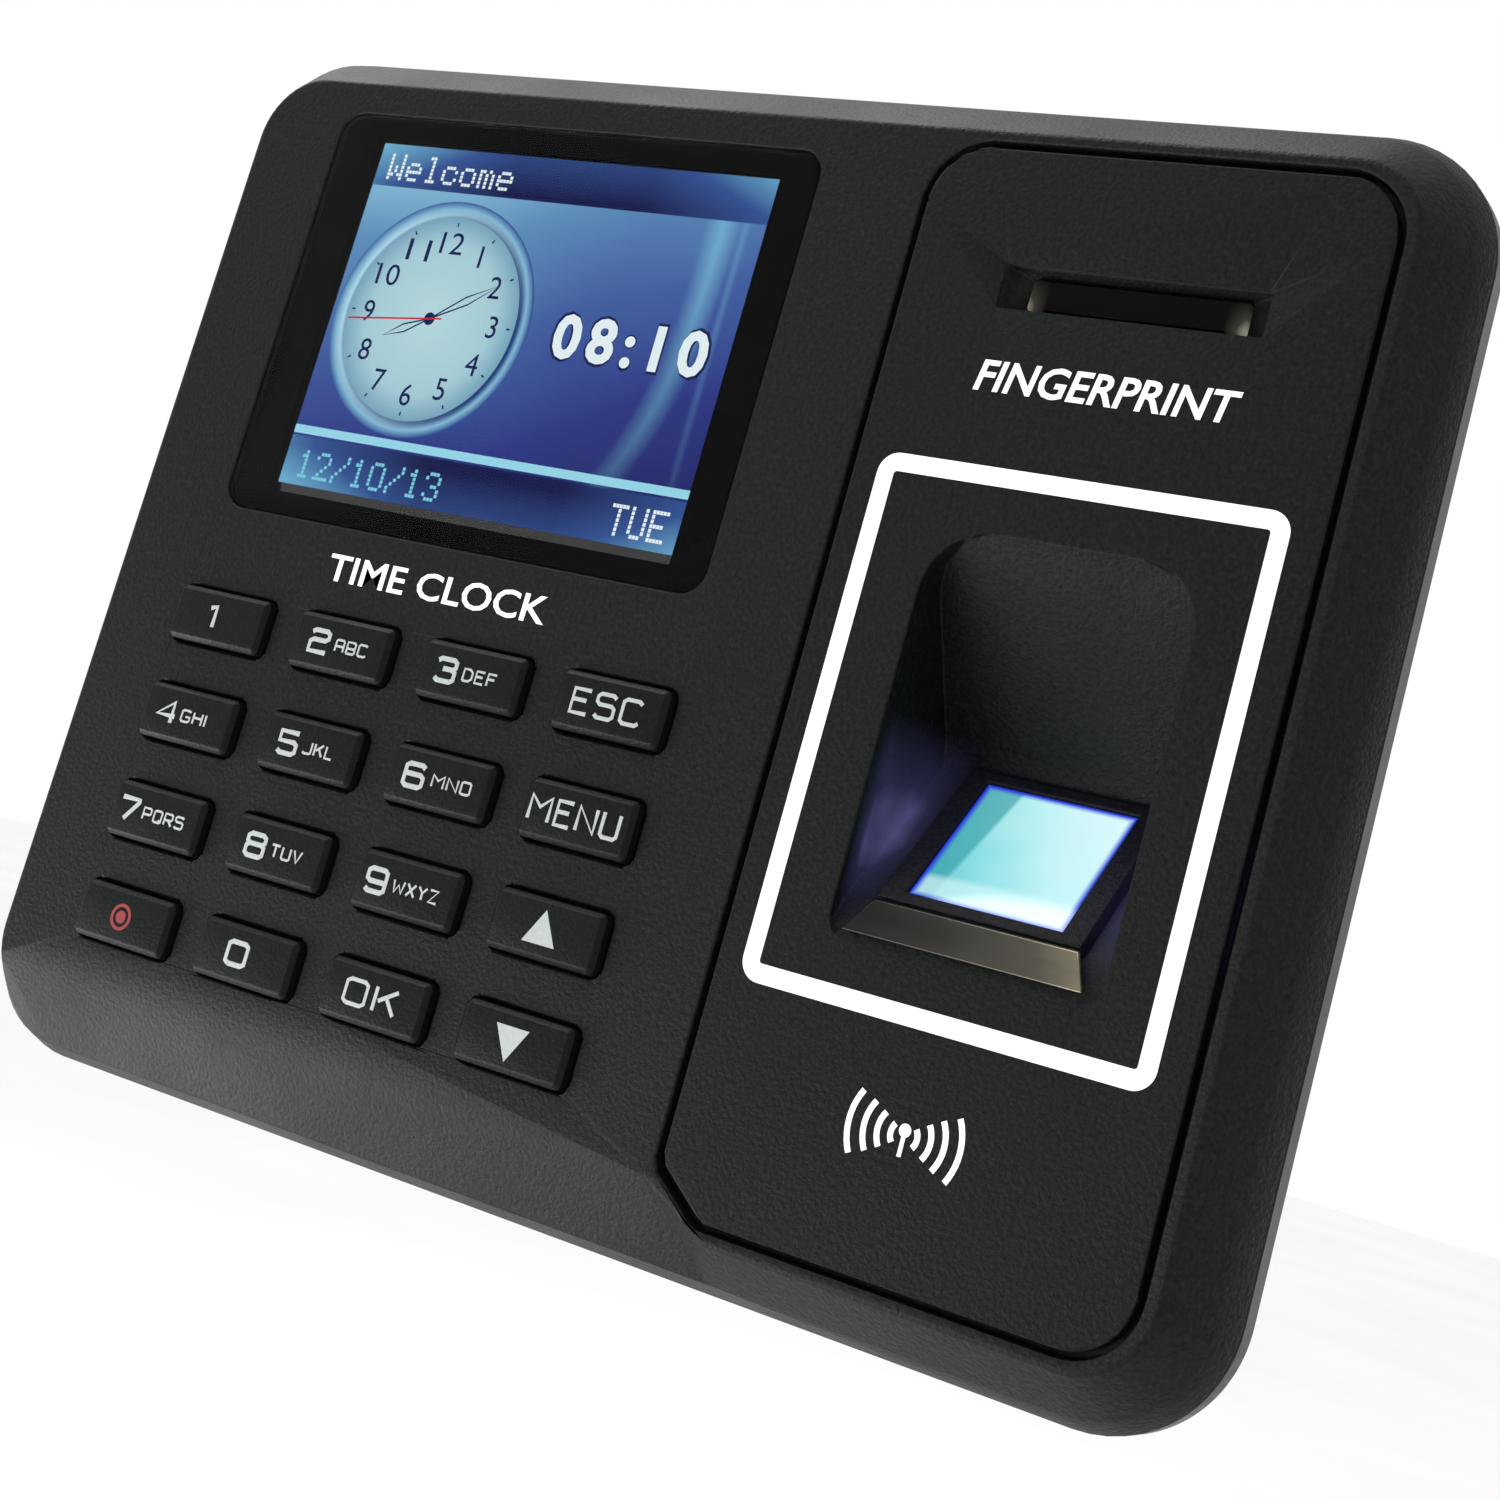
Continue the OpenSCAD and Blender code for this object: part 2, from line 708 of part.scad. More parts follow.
// A flat cable that runs back, then down or up, then back again
module flat_cable(x, w, z0, d0, z1, d1, mid) {
    t = 0.3;
    side_view(x - w / 2, x + w / 2) {
        translate([d0, z0 - t / 2]) square([mid - d0 + t, t]);
        translate([mid, min(z0, z1) - t / 2]) square([t, abs(z1 - z0) + t]);
        translate([mid, z1 - t / 2]) square([d1 - mid, t]);
    }
}

module display_cable() {
    color([0.75, 0.45, 0.15]) flat_cable(screen_x, 18, screen_z - 22, 5, 2.5, board_d - 2.2, 10.5);
}

module keypad_cable() {
    color([0.75, 0.45, 0.15]) flat_cable(keypad_x, 11, -46, mat_d + mat_t + keypad_board_t, -41,
        board_d - 2.2, 11);
}

module sensor_cable() {
    color([0.85, 0.85, 0.85]) sheet(12.2, 1.6) polygon([[15, -18.5], [15, -12.5], [22, -12.5],
        [28, -19], [34, -19], [34, -24.5], [26, -24.5], [20.5, -18.5]]);
}

module tamper_switch() {
    color([0.05, 0.05, 0.05]) block(tamper_x - 3, tamper_z - 3, board_back, 6, 6, switch_h);
}

module tamper_plunger() {
    color([0.85, 0.85, 0.83]) {
        rod(tamper_x, tamper_z, tamper_r, board_back + switch_h + tamper_travel + 0.2, plate_d - 0.1);
        rod(tamper_x, tamper_z, 2.6, 29.4, 30.6);
    }
}

// Wall plate and fasteners ----------------------------------------------------

module slot_2d() {
    translate([wall_slot_w / 2 - wall_slot_l / 2, 0]) circle(wall_slot_w / 2);
    translate([wall_slot_l / 2 - wall_slot_w / 2, 0]) circle(wall_slot_w / 2);
    square([wall_slot_l - wall_slot_w, wall_slot_w], center = true);
}

module wall_plate() {
    color([0.7, 0.71, 0.72]) {
        difference() {
            sheet(plate_d, plate_t) rounded(plate_w, plate_h, 3);
            for (sx = [-1, 1], sz = [-1, 1])
                sheet(plate_d - 1, 4) translate([sx * wall_hole_x / 2, sz * wall_hole_z / 2]) slot_2d();
            sheet(plate_d - 1, 4) translate([cable_hole_x, cable_hole_z])
                rounded(cable_hole[0], cable_hole[1], 2);
        }
        for (s = [-1, 1]) {
            block(s * hook_x - hook_w / 2, hook_z, plate_d - 3.6, hook_w, 1.4, 3.8);
            block(s * hook_x - hook_w / 2, hook_z, plate_d - 3.6, hook_w, 3.4, 1.4);
        }
        block(-8, lock_tab_z, plate_d, 16, 20, plate_t);
        difference() {
            block(-8, lock_tab_z, 28, 16, 1.5, plate_d - 28 + 0.1);
            translate([0, lock_screw_d - body_d, lock_tab_z - 1]) cylinder(r = 1.65, h = 4);
        }
    }
}

module lock_screw() {
    color([0.75, 0.76, 0.78]) translate([0, lock_screw_d - body_d, lock_seat_z]) difference() {
        union() {
            translate([0, 0, -1.8]) cylinder(r = 2.9, h = 1.8);
            translate([0, 0, -0.1]) cylinder(r = 1.6, h = 6.5);
        }
        translate([0, 0, -2.8]) cylinder(r = 1.2, h = 2, $fn = 6);
    }
}

module screw(x, z, head_d, head_r, head_t, shank_r, tip_d) {
    difference() {
        union() {
            rod(x, z, head_r, head_d, head_d + head_t);
            rod(x, z, shank_r, tip_d, head_d + 0.1);
        }
        block(x - head_r, z - 0.3, head_d + head_t * 0.5, 2 * head_r, 0.6, head_t);
        block(x - 0.3, z - head_r, head_d + head_t * 0.5, 0.6, 2 * head_r, head_t);
    }
}

module cover_screws() {
    color([0.6, 0.6, 0.62]) for (sx = [-1, 1], sz = [-1, 1])
        screw(sx * cover_screw[0], sz * cover_screw[1], 16, 2.8, 1.8, 1.2, 5.5);
}

module board_screws() {
    color([0.75, 0.75, 0.77]) translate([0, 2 * (board_d - body_d), 0]) mirror([0, 1, 0])
        for (sx = [-1, 1], sz = [-1, 1])
            screw(board_x + sx * board_hole[0], board_z + sz * board_hole[1], board_d, 2.8, 1.8, 1.2,
                board_d - 8);
}

module small_screw(x, z, d, tip_d) {
    screw(x, z, d, 1.9, 1.2, 0.9, tip_d);
}

module small_screws() {
    keypad_back = mat_d + mat_t + keypad_board_t;
    color([0.75, 0.75, 0.77]) for (s = [-1, 1]) {
        small_screw(screen_x + s * display_screw_x, screen_z, 5.4, 2.6);
        small_screw(panel_x + s * antenna_screw_x, antenna_z, 5.4, 2.6);
        for (t = [-1, 1])
            small_screw(keypad_x + s * 2 * key_pitch_x, keypad_z + t * key_pitch_z, keypad_back, 4.2);
        for (z = panel_screw_z) small_screw(panel_x + s * panel_screw_x, z, 4.2, 1.1);
    }
}

front_cover();
sensor_panel();
rear_cover();
screen_window();
display_gasket();
lcd_panel();
lcd_frame();
status_lens();
status_light_board();
status_leds();
sensor_prism();
sensor_bezel();
sensor_lip();
sensor_housing();
sensor_camera_lens();
sensor_board();
sensor_leds();
keypad_mat();
keypad_board();
main_board();
processor_chips();
cable_headers();
clock_battery();
clock_battery_holder();
speaker();
reader_antenna_board();
reader_antenna_coil();
network_jack();
power_jack();
terminal_block();
terminal_screws();
display_cable();
keypad_cable();
sensor_cable();
tamper_switch();
tamper_plunger();
wall_plate();
lock_screw();
cover_screws();
board_screws();
small_screws();
for (i = [0:15]) key(i);
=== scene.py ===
import math

import bmesh
import bpy
from mathutils import Matrix, Vector


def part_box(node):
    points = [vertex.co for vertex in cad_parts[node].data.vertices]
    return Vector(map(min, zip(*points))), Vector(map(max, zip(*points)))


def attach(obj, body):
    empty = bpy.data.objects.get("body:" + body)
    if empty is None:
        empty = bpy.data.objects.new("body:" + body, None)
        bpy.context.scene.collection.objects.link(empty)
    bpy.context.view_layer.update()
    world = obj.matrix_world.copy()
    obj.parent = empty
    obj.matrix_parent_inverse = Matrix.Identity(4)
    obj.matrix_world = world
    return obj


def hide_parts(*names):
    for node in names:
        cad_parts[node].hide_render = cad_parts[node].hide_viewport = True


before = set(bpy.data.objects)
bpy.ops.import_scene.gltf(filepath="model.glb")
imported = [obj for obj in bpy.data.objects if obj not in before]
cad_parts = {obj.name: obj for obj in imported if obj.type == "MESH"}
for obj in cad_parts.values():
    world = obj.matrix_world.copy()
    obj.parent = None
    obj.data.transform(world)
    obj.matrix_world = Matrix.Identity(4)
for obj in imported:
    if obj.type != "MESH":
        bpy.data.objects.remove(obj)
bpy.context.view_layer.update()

# The row's frame: the wall plane is y = 0 and the front face looks along -y
MM = 0.001
FACE_Y = -36 * MM
BASE = "terminal"

# Depths of the screen's picture layers behind the front face, in millimetres
GROUND_D = 2.08
BANNER_D = 2.065
RIM_D = 2.05
DIAL_D = 2.035
WORD_D = 2.02
HAND_D = 2.005
HUB_D = 1.99

# Thickness of one such layer and of the window's black border, in millimetres
LAYER_T = 0.01
BORDER_T = 0.02

# Size of the lit picture and height of its banners, in millimetres
LIT_W = 58.2
LIT_H = 43.6
TOP_BANNER_H = 5.4
FOOT_BANNER_H = 6.0

# Pitch of the screen's rows of dots in millimetres, and a Wave texture's own in metres
ROW_PITCH = 0.24
WAVE = 0.314

# Thickness of the printed ink, in millimetres
INK = 0.03

# An edge of the housing sharper than this, in degrees, is rounded
SHARP = 32

# Each key's big mark with its left and right ends, then its small letters with theirs,
# in millimetres from the key's middle
LEGENDS = {
    "key_1": ("1", -1.6, -0.1, "", 0, 0), "key_2": ("2", -4.5, -1.3, "ABC", -0.5, 4.4),
    "key_3": ("3", -4.8, -1.6, "DEF", -0.8, 4.0), "key_4": ("4", -4.8, -1.4, "GHI", -0.8, 3.3),
    "key_5": ("5", -4.5, -1.3, "JKL", -0.6, 4.0), "key_6": ("6", -4.8, -1.6, "MNO", -0.7, 4.9),
    "key_7": ("7", -5.8, -2.5, "PQRS", -1.9, 4.8), "key_8": ("8", -4.6, -1.4, "TUV", -0.7, 4.1),
    "key_9": ("9", -5.6, -2.4, "WXYZ", -1.7, 4.8), "key_0": ("0", -2.6, 0.8, "", 0, 0),
    "key_esc": ("ESC", -4.9, 4.5, "", 0, 0), "key_menu": ("MENU", -6.3, 5.8, "", 0, 0),
    "key_ok": ("OK", -4.0, 3.6, "", 0, 0),
}
ALL_KEYS = list(LEGENDS) + ["key_up", "key_down", "key_bell"]

# Squared letters: each stroke is a run of points, two digits a point, on a 6 by 9 grid
LETTERS = {
    "A": "000819596860 0464", "B": "00095968655404 5463615000", "C": "6859190801105061",
    "D": "00094967624000", "E": "69090060 0555", "F": "690900 0555",
    "G": "68591908011050616434", "H": "0009 6069 0565", "I": "0009", "J": "6961501001",
    "K": "0009 6914 3660", "L": "090060", "M": "0009356960", "N": "00096069",
    "O": "105061685919080110", "P": "00095968655404", "Q": "105061685919080110 4260",
    "R": "00095968655404 3460", "S": "685919080615556461501001", "T": "0969 3930",
    "U": "090110506169", "V": "093069", "W": "0910365069", "X": "0960 0069",
    "Y": "093569 3530", "Z": "09690060", "0": "105061685919080110", "1": "082920",
    "2": "08195968665515040060", "3": "08195968665525 556461501001", "4": "50590363",
    "5": "690905556461501001", "6": "6859190801105061645505", "7": "09696820",
    "8": "15060819596866551504011050616455", "9": "0110506168591908051464",
}

# Screen letters: seven rows of five dots, one number a row
DOTS = {
    "W": (17, 17, 17, 21, 21, 27, 17), "e": (0, 0, 14, 17, 31, 16, 14),
    "l": (12, 4, 4, 4, 4, 4, 14), "c": (0, 0, 14, 17, 16, 17, 14),
    "o": (0, 0, 14, 17, 17, 17, 14), "m": (0, 0, 26, 21, 21, 21, 21),
    "1": (4, 12, 4, 4, 4, 4, 14), "2": (14, 17, 1, 2, 4, 8, 31),
    "/": (1, 1, 2, 4, 8, 16, 16), "0": (14, 17, 17, 17, 17, 17, 14),
    "3": (14, 17, 1, 6, 1, 17, 14), "T": (31, 4, 4, 4, 4, 4, 4),
    "U": (17, 17, 17, 17, 17, 17, 14), "E": (31, 16, 16, 30, 16, 16, 31),
}


# Places ----------------------------------------------------------------------

def middle(node):
    """Centre of a node's box, in millimetres."""
    low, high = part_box(node)
    return Vector([(a + b) / 2 / MM for a, b in zip(low, high)])


def spread(node):
    """Size of a node's box, in millimetres."""
    low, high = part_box(node)
    return Vector([(b - a) / MM for a, b in zip(low, high)])


def front_depth(node):
    """Depth of a node's front behind the front face, in millimetres."""
    return (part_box(node)[0][1] - FACE_Y) / MM


# The window and the middle of its picture, in millimetres
SCREEN_X, _, SCREEN_Z = middle("screen_window")
PICTURE_Z = SCREEN_Z + 0.6

# The drawn clock's centre from the middle of the picture
CLOCK_X = -14.0
CLOCK_Z = 0.6

# The middle of the sensor's glass and its tilt in degrees
GLASS_X = 47.7
GLASS_Z = -14.05
GLASS_D = 8.15
GLASS_TILT = 40

# The status lens's centre and the depth that its light is seen at
LENS_SPOT = (middle("status_lens").x, middle("status_lens").z, 0.9)


# Mesh helpers ----------------------------------------------------------------

def round_edges(bm, edges, size, steps):
    """Rounds edges off with a number of steps, or chamfers them with one."""
    bmesh.ops.bevel(bm, geom=edges, offset=size, offset_type="OFFSET", segments=steps,
                    profile=0.5, affect="EDGES", material=-1, clamp_overlap=True)


def slab(width, height, thick, corner=0.0, edge=0.0, corner_steps=6, edge_steps=2):
    """A rounded slab about the origin, its front at z = 0 and its back at -thick."""
    bm = bmesh.new()
    block = Matrix.Translation((0, 0, -thick / 2)) @ Matrix.Diagonal((width, height, thick, 1))
    bmesh.ops.create_cube(bm, size=1, matrix=block)
    if corner:
        upright = [e for e in bm.edges if abs(e.verts[0].co.z - e.verts[1].co.z) > thick / 2]
        round_edges(bm, upright, corner, corner_steps)
    if edge:
        front = [e for e in bm.edges if min(v.co.z for v in e.verts) > -thick / 1000]
        round_edges(bm, front, edge, edge_steps)
    return bm


def thicken(bm, thick):
    """Gives a flat outline a closed body of a thickness behind it."""
    grown = bmesh.ops.extrude_face_region(bm, geom=bm.faces[:])
    moved = [v for v in grown["geom"] if isinstance(v, bmesh.types.BMVert)]
    bmesh.ops.translate(bm, vec=(0, 0, -thick), verts=moved)
    bmesh.ops.recalc_face_normals(bm, faces=bm.faces[:])


def disc(radius, thick, steps=48, hole=0.0):
    """A disc or a washer about the origin, its front at z = 0."""
    bm = bmesh.new()
    rim = bmesh.ops.create_circle(bm, cap_ends=not hole, segments=steps, radius=radius)
    if hole:
        inner = bmesh.ops.create_circle(bm, segments=steps, radius=hole)
        loops = {e for v in rim["verts"] + inner["verts"] for e in v.link_edges}
        bmesh.ops.bridge_loops(bm, edges=list(loops))
    thicken(bm, thick)
    return bm


def band(width, height, hole_w, hole_h, thick, corner, steps=6):
    """A flat rounded frame with a rectangular hole, its front at z = 0."""
    bm = slab(width, height, thick, corner, corner_steps=steps)
    front = max(bm.faces, key=lambda f: f.calc_center_median().z)
    bmesh.ops.delete(bm, geom=[f for f in bm.faces if f is not front], context="FACES")
    line = min(width - hole_w, height - hole_h) / 2
    inset = bmesh.ops.inset_region(bm, faces=bm.faces[:], thickness=line,
                                   use_even_offset=True, use_boundary=True)
    middle_face = [f for f in bm.faces if f not in inset["faces"]][0]
    inner = list(middle_face.verts)
    reach = [max(v.co[axis] for v in inner) for axis in (0, 1)]
    scale = (hole_w / 2 / reach[0], hole_h / 2 / reach[1], 1)
    bmesh.ops.scale(bm, vec=scale, verts=inner)
    bmesh.ops.delete(bm, geom=[middle_face], context="FACES_ONLY")
    thicken(bm, thick)
    return bm


def rod(radius, start, end, steps=32, edge=0.0):
    """A round bar along z from start down to end."""
    bm = bmesh.new()
    spot = Matrix.Translation((0, 0, (start + end) / 2))
    bmesh.ops.create_cone(bm, cap_ends=True, segments=steps, radius1=radius, radius2=radius,
                          depth=abs(start - end), matrix=spot)
    if edge:
        rims = [e for e in bm.edges if abs(e.verts[0].co.z - e.verts[1].co.z) < 1e-6]
        round_edges(bm, rims, edge, 2)
    return bm


def join(parts):
    """Several bmeshes, each with its own shift, made one."""
    whole = bmesh.new()
    for part, shift in parts:
        bmesh.ops.translate(part, vec=shift, verts=part.verts[:])
        mesh = bpy.data.meshes.new("part")
        part.to_mesh(mesh)
        part.free()
        whole.from_mesh(mesh)
        bpy.data.meshes.remove(mesh)
    return whole


def to_bmesh(data):
    """A curve or text, made a mesh."""
    holder = bpy.data.objects.new("holder", data)
    bpy.context.scene.collection.objects.link(holder)
    bpy.context.view_layer.update()
    graph = bpy.context.evaluated_depsgraph_get()
    mesh = bpy.data.meshes.new_from_object(holder.evaluated_get(graph))
    bpy.data.objects.remove(holder)
    bpy.data.curves.remove(data)
    bm = bmesh.new()
    bm.from_mesh(mesh)
    bpy.data.meshes.remove(mesh)
    bmesh.ops.remove_doubles(bm, verts=bm.verts[:], dist=1e-5)
    return bm


def stroke_lines(paths, width, thick):
    """Flat round-ended lines along paths of (x, y), with their middle at z = 0."""
    curve = bpy.data.curves.new("lines", "CURVE")
    curve.dimensions = "3D"
    curve.bevel_depth = width / 2
    curve.bevel_resolution = 2
    curve.use_fill_caps = True
    for path in paths:
        spline = curve.splines.new("POLY")
        spline.points.add(len(path) - 1)
        for point, (x, y) in zip(spline.points, path):
            point.co = (x, y, 0, 1)
    bm = to_bmesh(curve)
    bmesh.ops.scale(bm, vec=(1, 1, thick / width), verts=bm.verts[:])
    bmesh.ops.recalc_face_normals(bm, faces=bm.faces[:])
    return bm


def words(text, width, height, thick, bold=0.0, slant=0.0, spacing=1.0):
    """Plain lettering fitted to a width and height about the origin, front at z = 0."""
    curve = bpy.data.curves.new("words", "FONT")
    curve.body = text
    curve.size = 1
    curve.extrude = 0.05
    curve.offset = bold
    curve.shear = slant
    curve.space_character = spacing
    curve.resolution_u = 3
    bm = to_bmesh(curve)
    low = Vector([min(v.co[i] for v in bm.verts) for i in range(3)])
    high = Vector([max(v.co[i] for v in bm.verts) for i in range(3)])
    size = high - low
    bmesh.ops.translate(bm, vec=(-(low.x + high.x) / 2, -(low.y + high.y) / 2, -high.z),
                        verts=bm.verts[:])
    across = width / size.x if width else height / size.y
    bmesh.ops.scale(bm, vec=(across, height / size.y, thick / size.z), verts=bm.verts[:])
    bmesh.ops.recalc_face_normals(bm, faces=bm.faces[:])
    return bm


def letter_strokes(text, left, right, bottom, top):
    """Paths of the squared letters, fitted between four limits."""
    gap = 2.6
    wide = {"I": 0.01, "1": 2, "M": 7.5, "W": 8, "N": 6.5, "E": 5.5, "F": 5.5, "L": 5}
    widths = [wide.get(mark, 6) for mark in text]
    total = sum(widths) + gap * (len(text) - 1)
    unit = (right - left) / max(total, 0.02)
    paths = []
    x = left
    for mark, width in zip(text, widths):
        natural = 2 if mark == "1" else 6
        for run in LETTERS[mark].split():
            spots = [(int(run[i]), int(run[i + 1])) for i in range(0, len(run), 2)]
            paths.append([(x + u / natural * width * unit, bottom + v / 9 * (top - bottom))
                          for u, v in spots])
        x += (width + gap) * unit
    return paths


def dot_words(text, left, right, bottom, top, thick):
    """Screen lettering made of square dots."""
    pitch = (right - left) / (len(text) * 6 - 1)
    rise = (top - bottom) / 7
    bm = bmesh.new()
    for place, mark in enumerate(text):
        for row, bits in enumerate(DOTS[mark]):
            for column in range(5):
                if bits >> (4 - column) & 1:
                    x = left + (place * 6 + column + 0.5) * pitch
                    y = top - (row + 0.5) * rise
                    spot = Matrix.Translation((x, y, -thick / 2))
                    size = Matrix.Diagonal((pitch * 0.86, rise * 0.8, thick, 1))
                    bmesh.ops.create_cube(bm, size=1, matrix=spot @ size)
    return bm


def face_place(x, z, depth):
    """From a piece drawn facing up +z in millimetres to its place on the front."""
    spot = Matrix.Translation((x * MM, FACE_Y + depth * MM, z * MM))
    return spot @ Matrix.Rotation(math.radians(90), 4, "X") @ Matrix.Scale(MM, 4)


def make_piece(name, bm, material, matrix=None, body=BASE, nodes=(), smooth=30):
    """Turns a bmesh into a finished piece that rides on a body."""
    if matrix is not None:
        bmesh.ops.transform(bm, matrix=matrix, verts=bm.verts[:])
    mesh = bpy.data.meshes.new(name)
    bm.to_mesh(mesh)
    bm.free()
    mesh.shade_smooth()
    mesh.set_sharp_from_angle(angle=math.radians(smooth))
    mesh.materials.append(material)
    piece = bpy.data.objects.new(name, mesh)
    bpy.context.scene.collection.objects.link(piece)
    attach(piece, body)
    if nodes:
        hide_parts(*nodes)
    return piece


def near_node(spot, node, margin=4 * MM):
    """Whether a spot lies within a margin of a node's box."""
    low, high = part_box(node)
    return all(a - margin < v < b + margin for a, v, b in zip(low, spot, high))


def mark_edges(bm, least, keep):
    """Weights the sharp edges for rounding, apart from those of faces smaller than least
    square millimetres and those around the node named in keep."""
    weight = bm.edges.layers.float.new("bevel_weight_edge")
    for edge in bm.edges:
        sharp = len(edge.link_faces) == 2 and edge.calc_face_angle(0) > math.radians(SHARP)
        broad = all(face.calc_area() > least * MM * MM for face in edge.link_faces)
        spot = (edge.verts[0].co + edge.verts[1].co) / 2
        chosen = sharp and broad and not (keep and near_node(spot, keep))
        edge[weight] = 1.0 if chosen else 0.0


def soften(name, node, material, width, body=BASE, least=0.0, keep=None):
    """A node's own shape with its sharp edges slightly rounded."""
    bm = bmesh.new()
    bm.from_mesh(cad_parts[node].data)
    bmesh.ops.remove_doubles(bm, verts=bm.verts[:], dist=2e-6)
    mark_edges(bm, least, keep)
    piece = make_piece(name, bm, material, body=body, nodes=[node], smooth=SHARP)
    rounding = piece.modifiers.new("edges", "BEVEL")
    rounding.width = width * MM
    rounding.segments = 2
    rounding.limit_method = "WEIGHT"
    rounding.use_clamp_overlap = False
    rounding.loop_slide = False
    flats = piece.modifiers.new("flats", "WEIGHTED_NORMAL")
    flats.mode = "FACE_AREA"
    flats.weight = 100
    flats.keep_sharp = True
    return piece


# Material helpers ------------------------------------------------------------

def srgb(red, green, blue):
    """A colour from its 0 to 255 screen values."""
    return tuple((v / 255 / 12.92) if v < 10.3 else ((v / 255 + 0.055) / 1.055) ** 2.4
                 for v in (red, green, blue)) + (1.0,)


def add(tree, kind, inputs=None, **settings):
    """A new shader node with its settings, values and links."""
    node = tree.nodes.new(kind)
    for key, value in settings.items():
        setattr(node, key, value)
    for socket, value in (inputs or {}).items():
        if isinstance(value, bpy.types.NodeSocket):
            tree.links.new(value, node.inputs[socket])
        else:
            node.inputs[socket].default_value = value
    return node


def calc(tree, operation, first, second=0.0, clamp=False):
    node = add(tree, "ShaderNodeMath", {0: first, 1: second}, operation=operation,
               use_clamp=clamp)
    return node.outputs[0]


def plus(tree, first, second):
    return calc(tree, "ADD", first, second)


def times(tree, first, second):
    return calc(tree, "MULTIPLY", first, second)


def absolute(tree, value):
    return calc(tree, "ABSOLUTE", value)


def remap(tree, value, low, high, to_low=0.0, to_high=1.0):
    node = add(tree, "ShaderNodeMapRange", {"Value": value, "From Min": low, "From Max": high,
                                            "To Min": to_low, "To Max": to_high})
    return node.outputs[0]


def mix(tree, factor, first, second):
    node = add(tree, "ShaderNodeMix", {0: factor, 6: first, 7: second}, data_type="RGBA")
    return node.outputs[2]


def ramp(tree, value, stops):
    node = add(tree, "ShaderNodeValToRGB", {"Fac": value})
    bar = node.color_ramp
    bar.elements[0].position = stops[0][0]
    bar.elements[0].color = stops[0][1]
    bar.elements[1].position = stops[-1][0]
    bar.elements[1].color = stops[-1][1]
    for position, colour in stops[1:-1]:
        bar.elements.new(position).color = colour
    return node.outputs["Color"]


def noise(tree, place, size_mm, detail=2.0, roughness=0.5):
    node = add(tree, "ShaderNodeTexNoise", {"Vector": place, "Scale": 1 / (size_mm * MM),
                                            "Detail": detail, "Roughness": roughness})
    return node.outputs[0]


def base_shader(name, colour, roughness, metallic=0.0, specular=0.5):
    """A new material, its tree, its shader and its place on the object."""
    material = bpy.data.materials.new(name)
    material.use_nodes = True
    tree = material.node_tree
    shader = tree.nodes["Principled BSDF"]
    shader.inputs["Base Color"].default_value = colour
    shader.inputs["Roughness"].default_value = roughness
    shader.inputs["Metallic"].default_value = metallic
    shader.inputs["Specular IOR Level"].default_value = specular
    place = add(tree, "ShaderNodeTexCoord").outputs["Object"]
    return material, tree, shader, place


def bump(tree, shader, height, strength, distance_mm):
    node = add(tree, "ShaderNodeBump", {"Height": height, "Strength": strength,
                                        "Distance": distance_mm * MM})
    tree.links.new(node.outputs[0], shader.inputs["Normal"])


def scaled(colour, painted_glow_amount):
    return tuple(min(v * painted_glow_amount, 1.0) for v in colour[:3]) + (1.0,)


def edge_mask(tree, width_mm):
    """1 on the sharp edges and 0 on the flats."""
    rounded = add(tree, "ShaderNodeBevel", {"Radius": width_mm * MM}, samples=4)
    flat = add(tree, "ShaderNodeNewGeometry").outputs["Normal"]
    dot = add(tree, "ShaderNodeVectorMath", {0: rounded.outputs[0], 1: flat},
              operation="DOT_PRODUCT")
    return remap(tree, dot.outputs["Value"], 0.995, 0.8)


def moulded(name, colour, roughness=0.5, specular=0.25, grain_mm=0.4, grain=0.35, mottle=0.3,
            wear_and_edge_highlight=0.0):
    """Fine-grained moulded plastic, slightly mottled, paler along its sharp edges as wear and as a
    painted edge highlight.
    """
    material, tree, shader, place = base_shader(name, colour, roughness, specular=specular)
    fine = noise(tree, place, grain_mm, 3.0, 0.6)
    broad = noise(tree, place, 18, 3.0)
    shade = ramp(tree, fine, [(0.3, scaled(colour, 1 - mottle)), (0.7, scaled(colour, 1 + mottle))])
    # Paler sharp edges: partly wear, partly a painted edge highlight
    if wear_and_edge_highlight:
        worn_and_highlit_edges = times(tree, edge_mask(tree, 0.35), remap(tree, broad, 0.3, 0.7, 0.4, 1))
        shade = mix(tree, times(tree, worn_and_highlit_edges, wear_and_edge_highlight), shade, scaled(colour, 5))
    tree.links.new(shade, shader.inputs["Base Color"])
    patch = remap(tree, broad, 0.3, 0.7, roughness - 0.05, roughness + 0.06)
    tree.links.new(patch, shader.inputs["Roughness"])
    bump(tree, shader, fine, grain, 0.16)
    return material


def metal(name, colour, roughness, brushed=(1, 1, 1), scratch=0.15):
    """Bare or plated metal with a fine brushed or rolled grain."""
    material, tree, shader, place = base_shader(name, colour, roughness, metallic=1.0)
    drawn = add(tree, "ShaderNodeMapping", {"Vector": place, "Scale": brushed}).outputs[0]
    grain = noise(tree, drawn, 0.3, 4.0, 0.7)
    broad = noise(tree, place, 9, 2.0)
    shade = ramp(tree, broad, [(0.3, scaled(colour, 0.82)), (0.7, scaled(colour, 1.06))])
    tree.links.new(shade, shader.inputs["Base Color"])
    sheen = remap(tree, grain, 0.3, 0.7, roughness - 0.07, roughness + 0.1)
    tree.links.new(sheen, shader.inputs["Roughness"])
    bump(tree, shader, grain, scratch, 0.02)
    return material


def ink(name, colour, roughness=0.45):
    """Screen-printed ink with a slightly uneven film."""
    material, tree, shader, place = base_shader(name, colour, roughness, specular=0.3)
    film = noise(tree, place, 0.5, 3.0)
    shade = ramp(tree, film, [(0.3, scaled(colour, 0.93)), (0.7, scaled(colour, 1.04))])
    tree.links.new(shade, shader.inputs["Base Color"])
    bump(tree, shader, film, 0.15, 0.01)
    return material


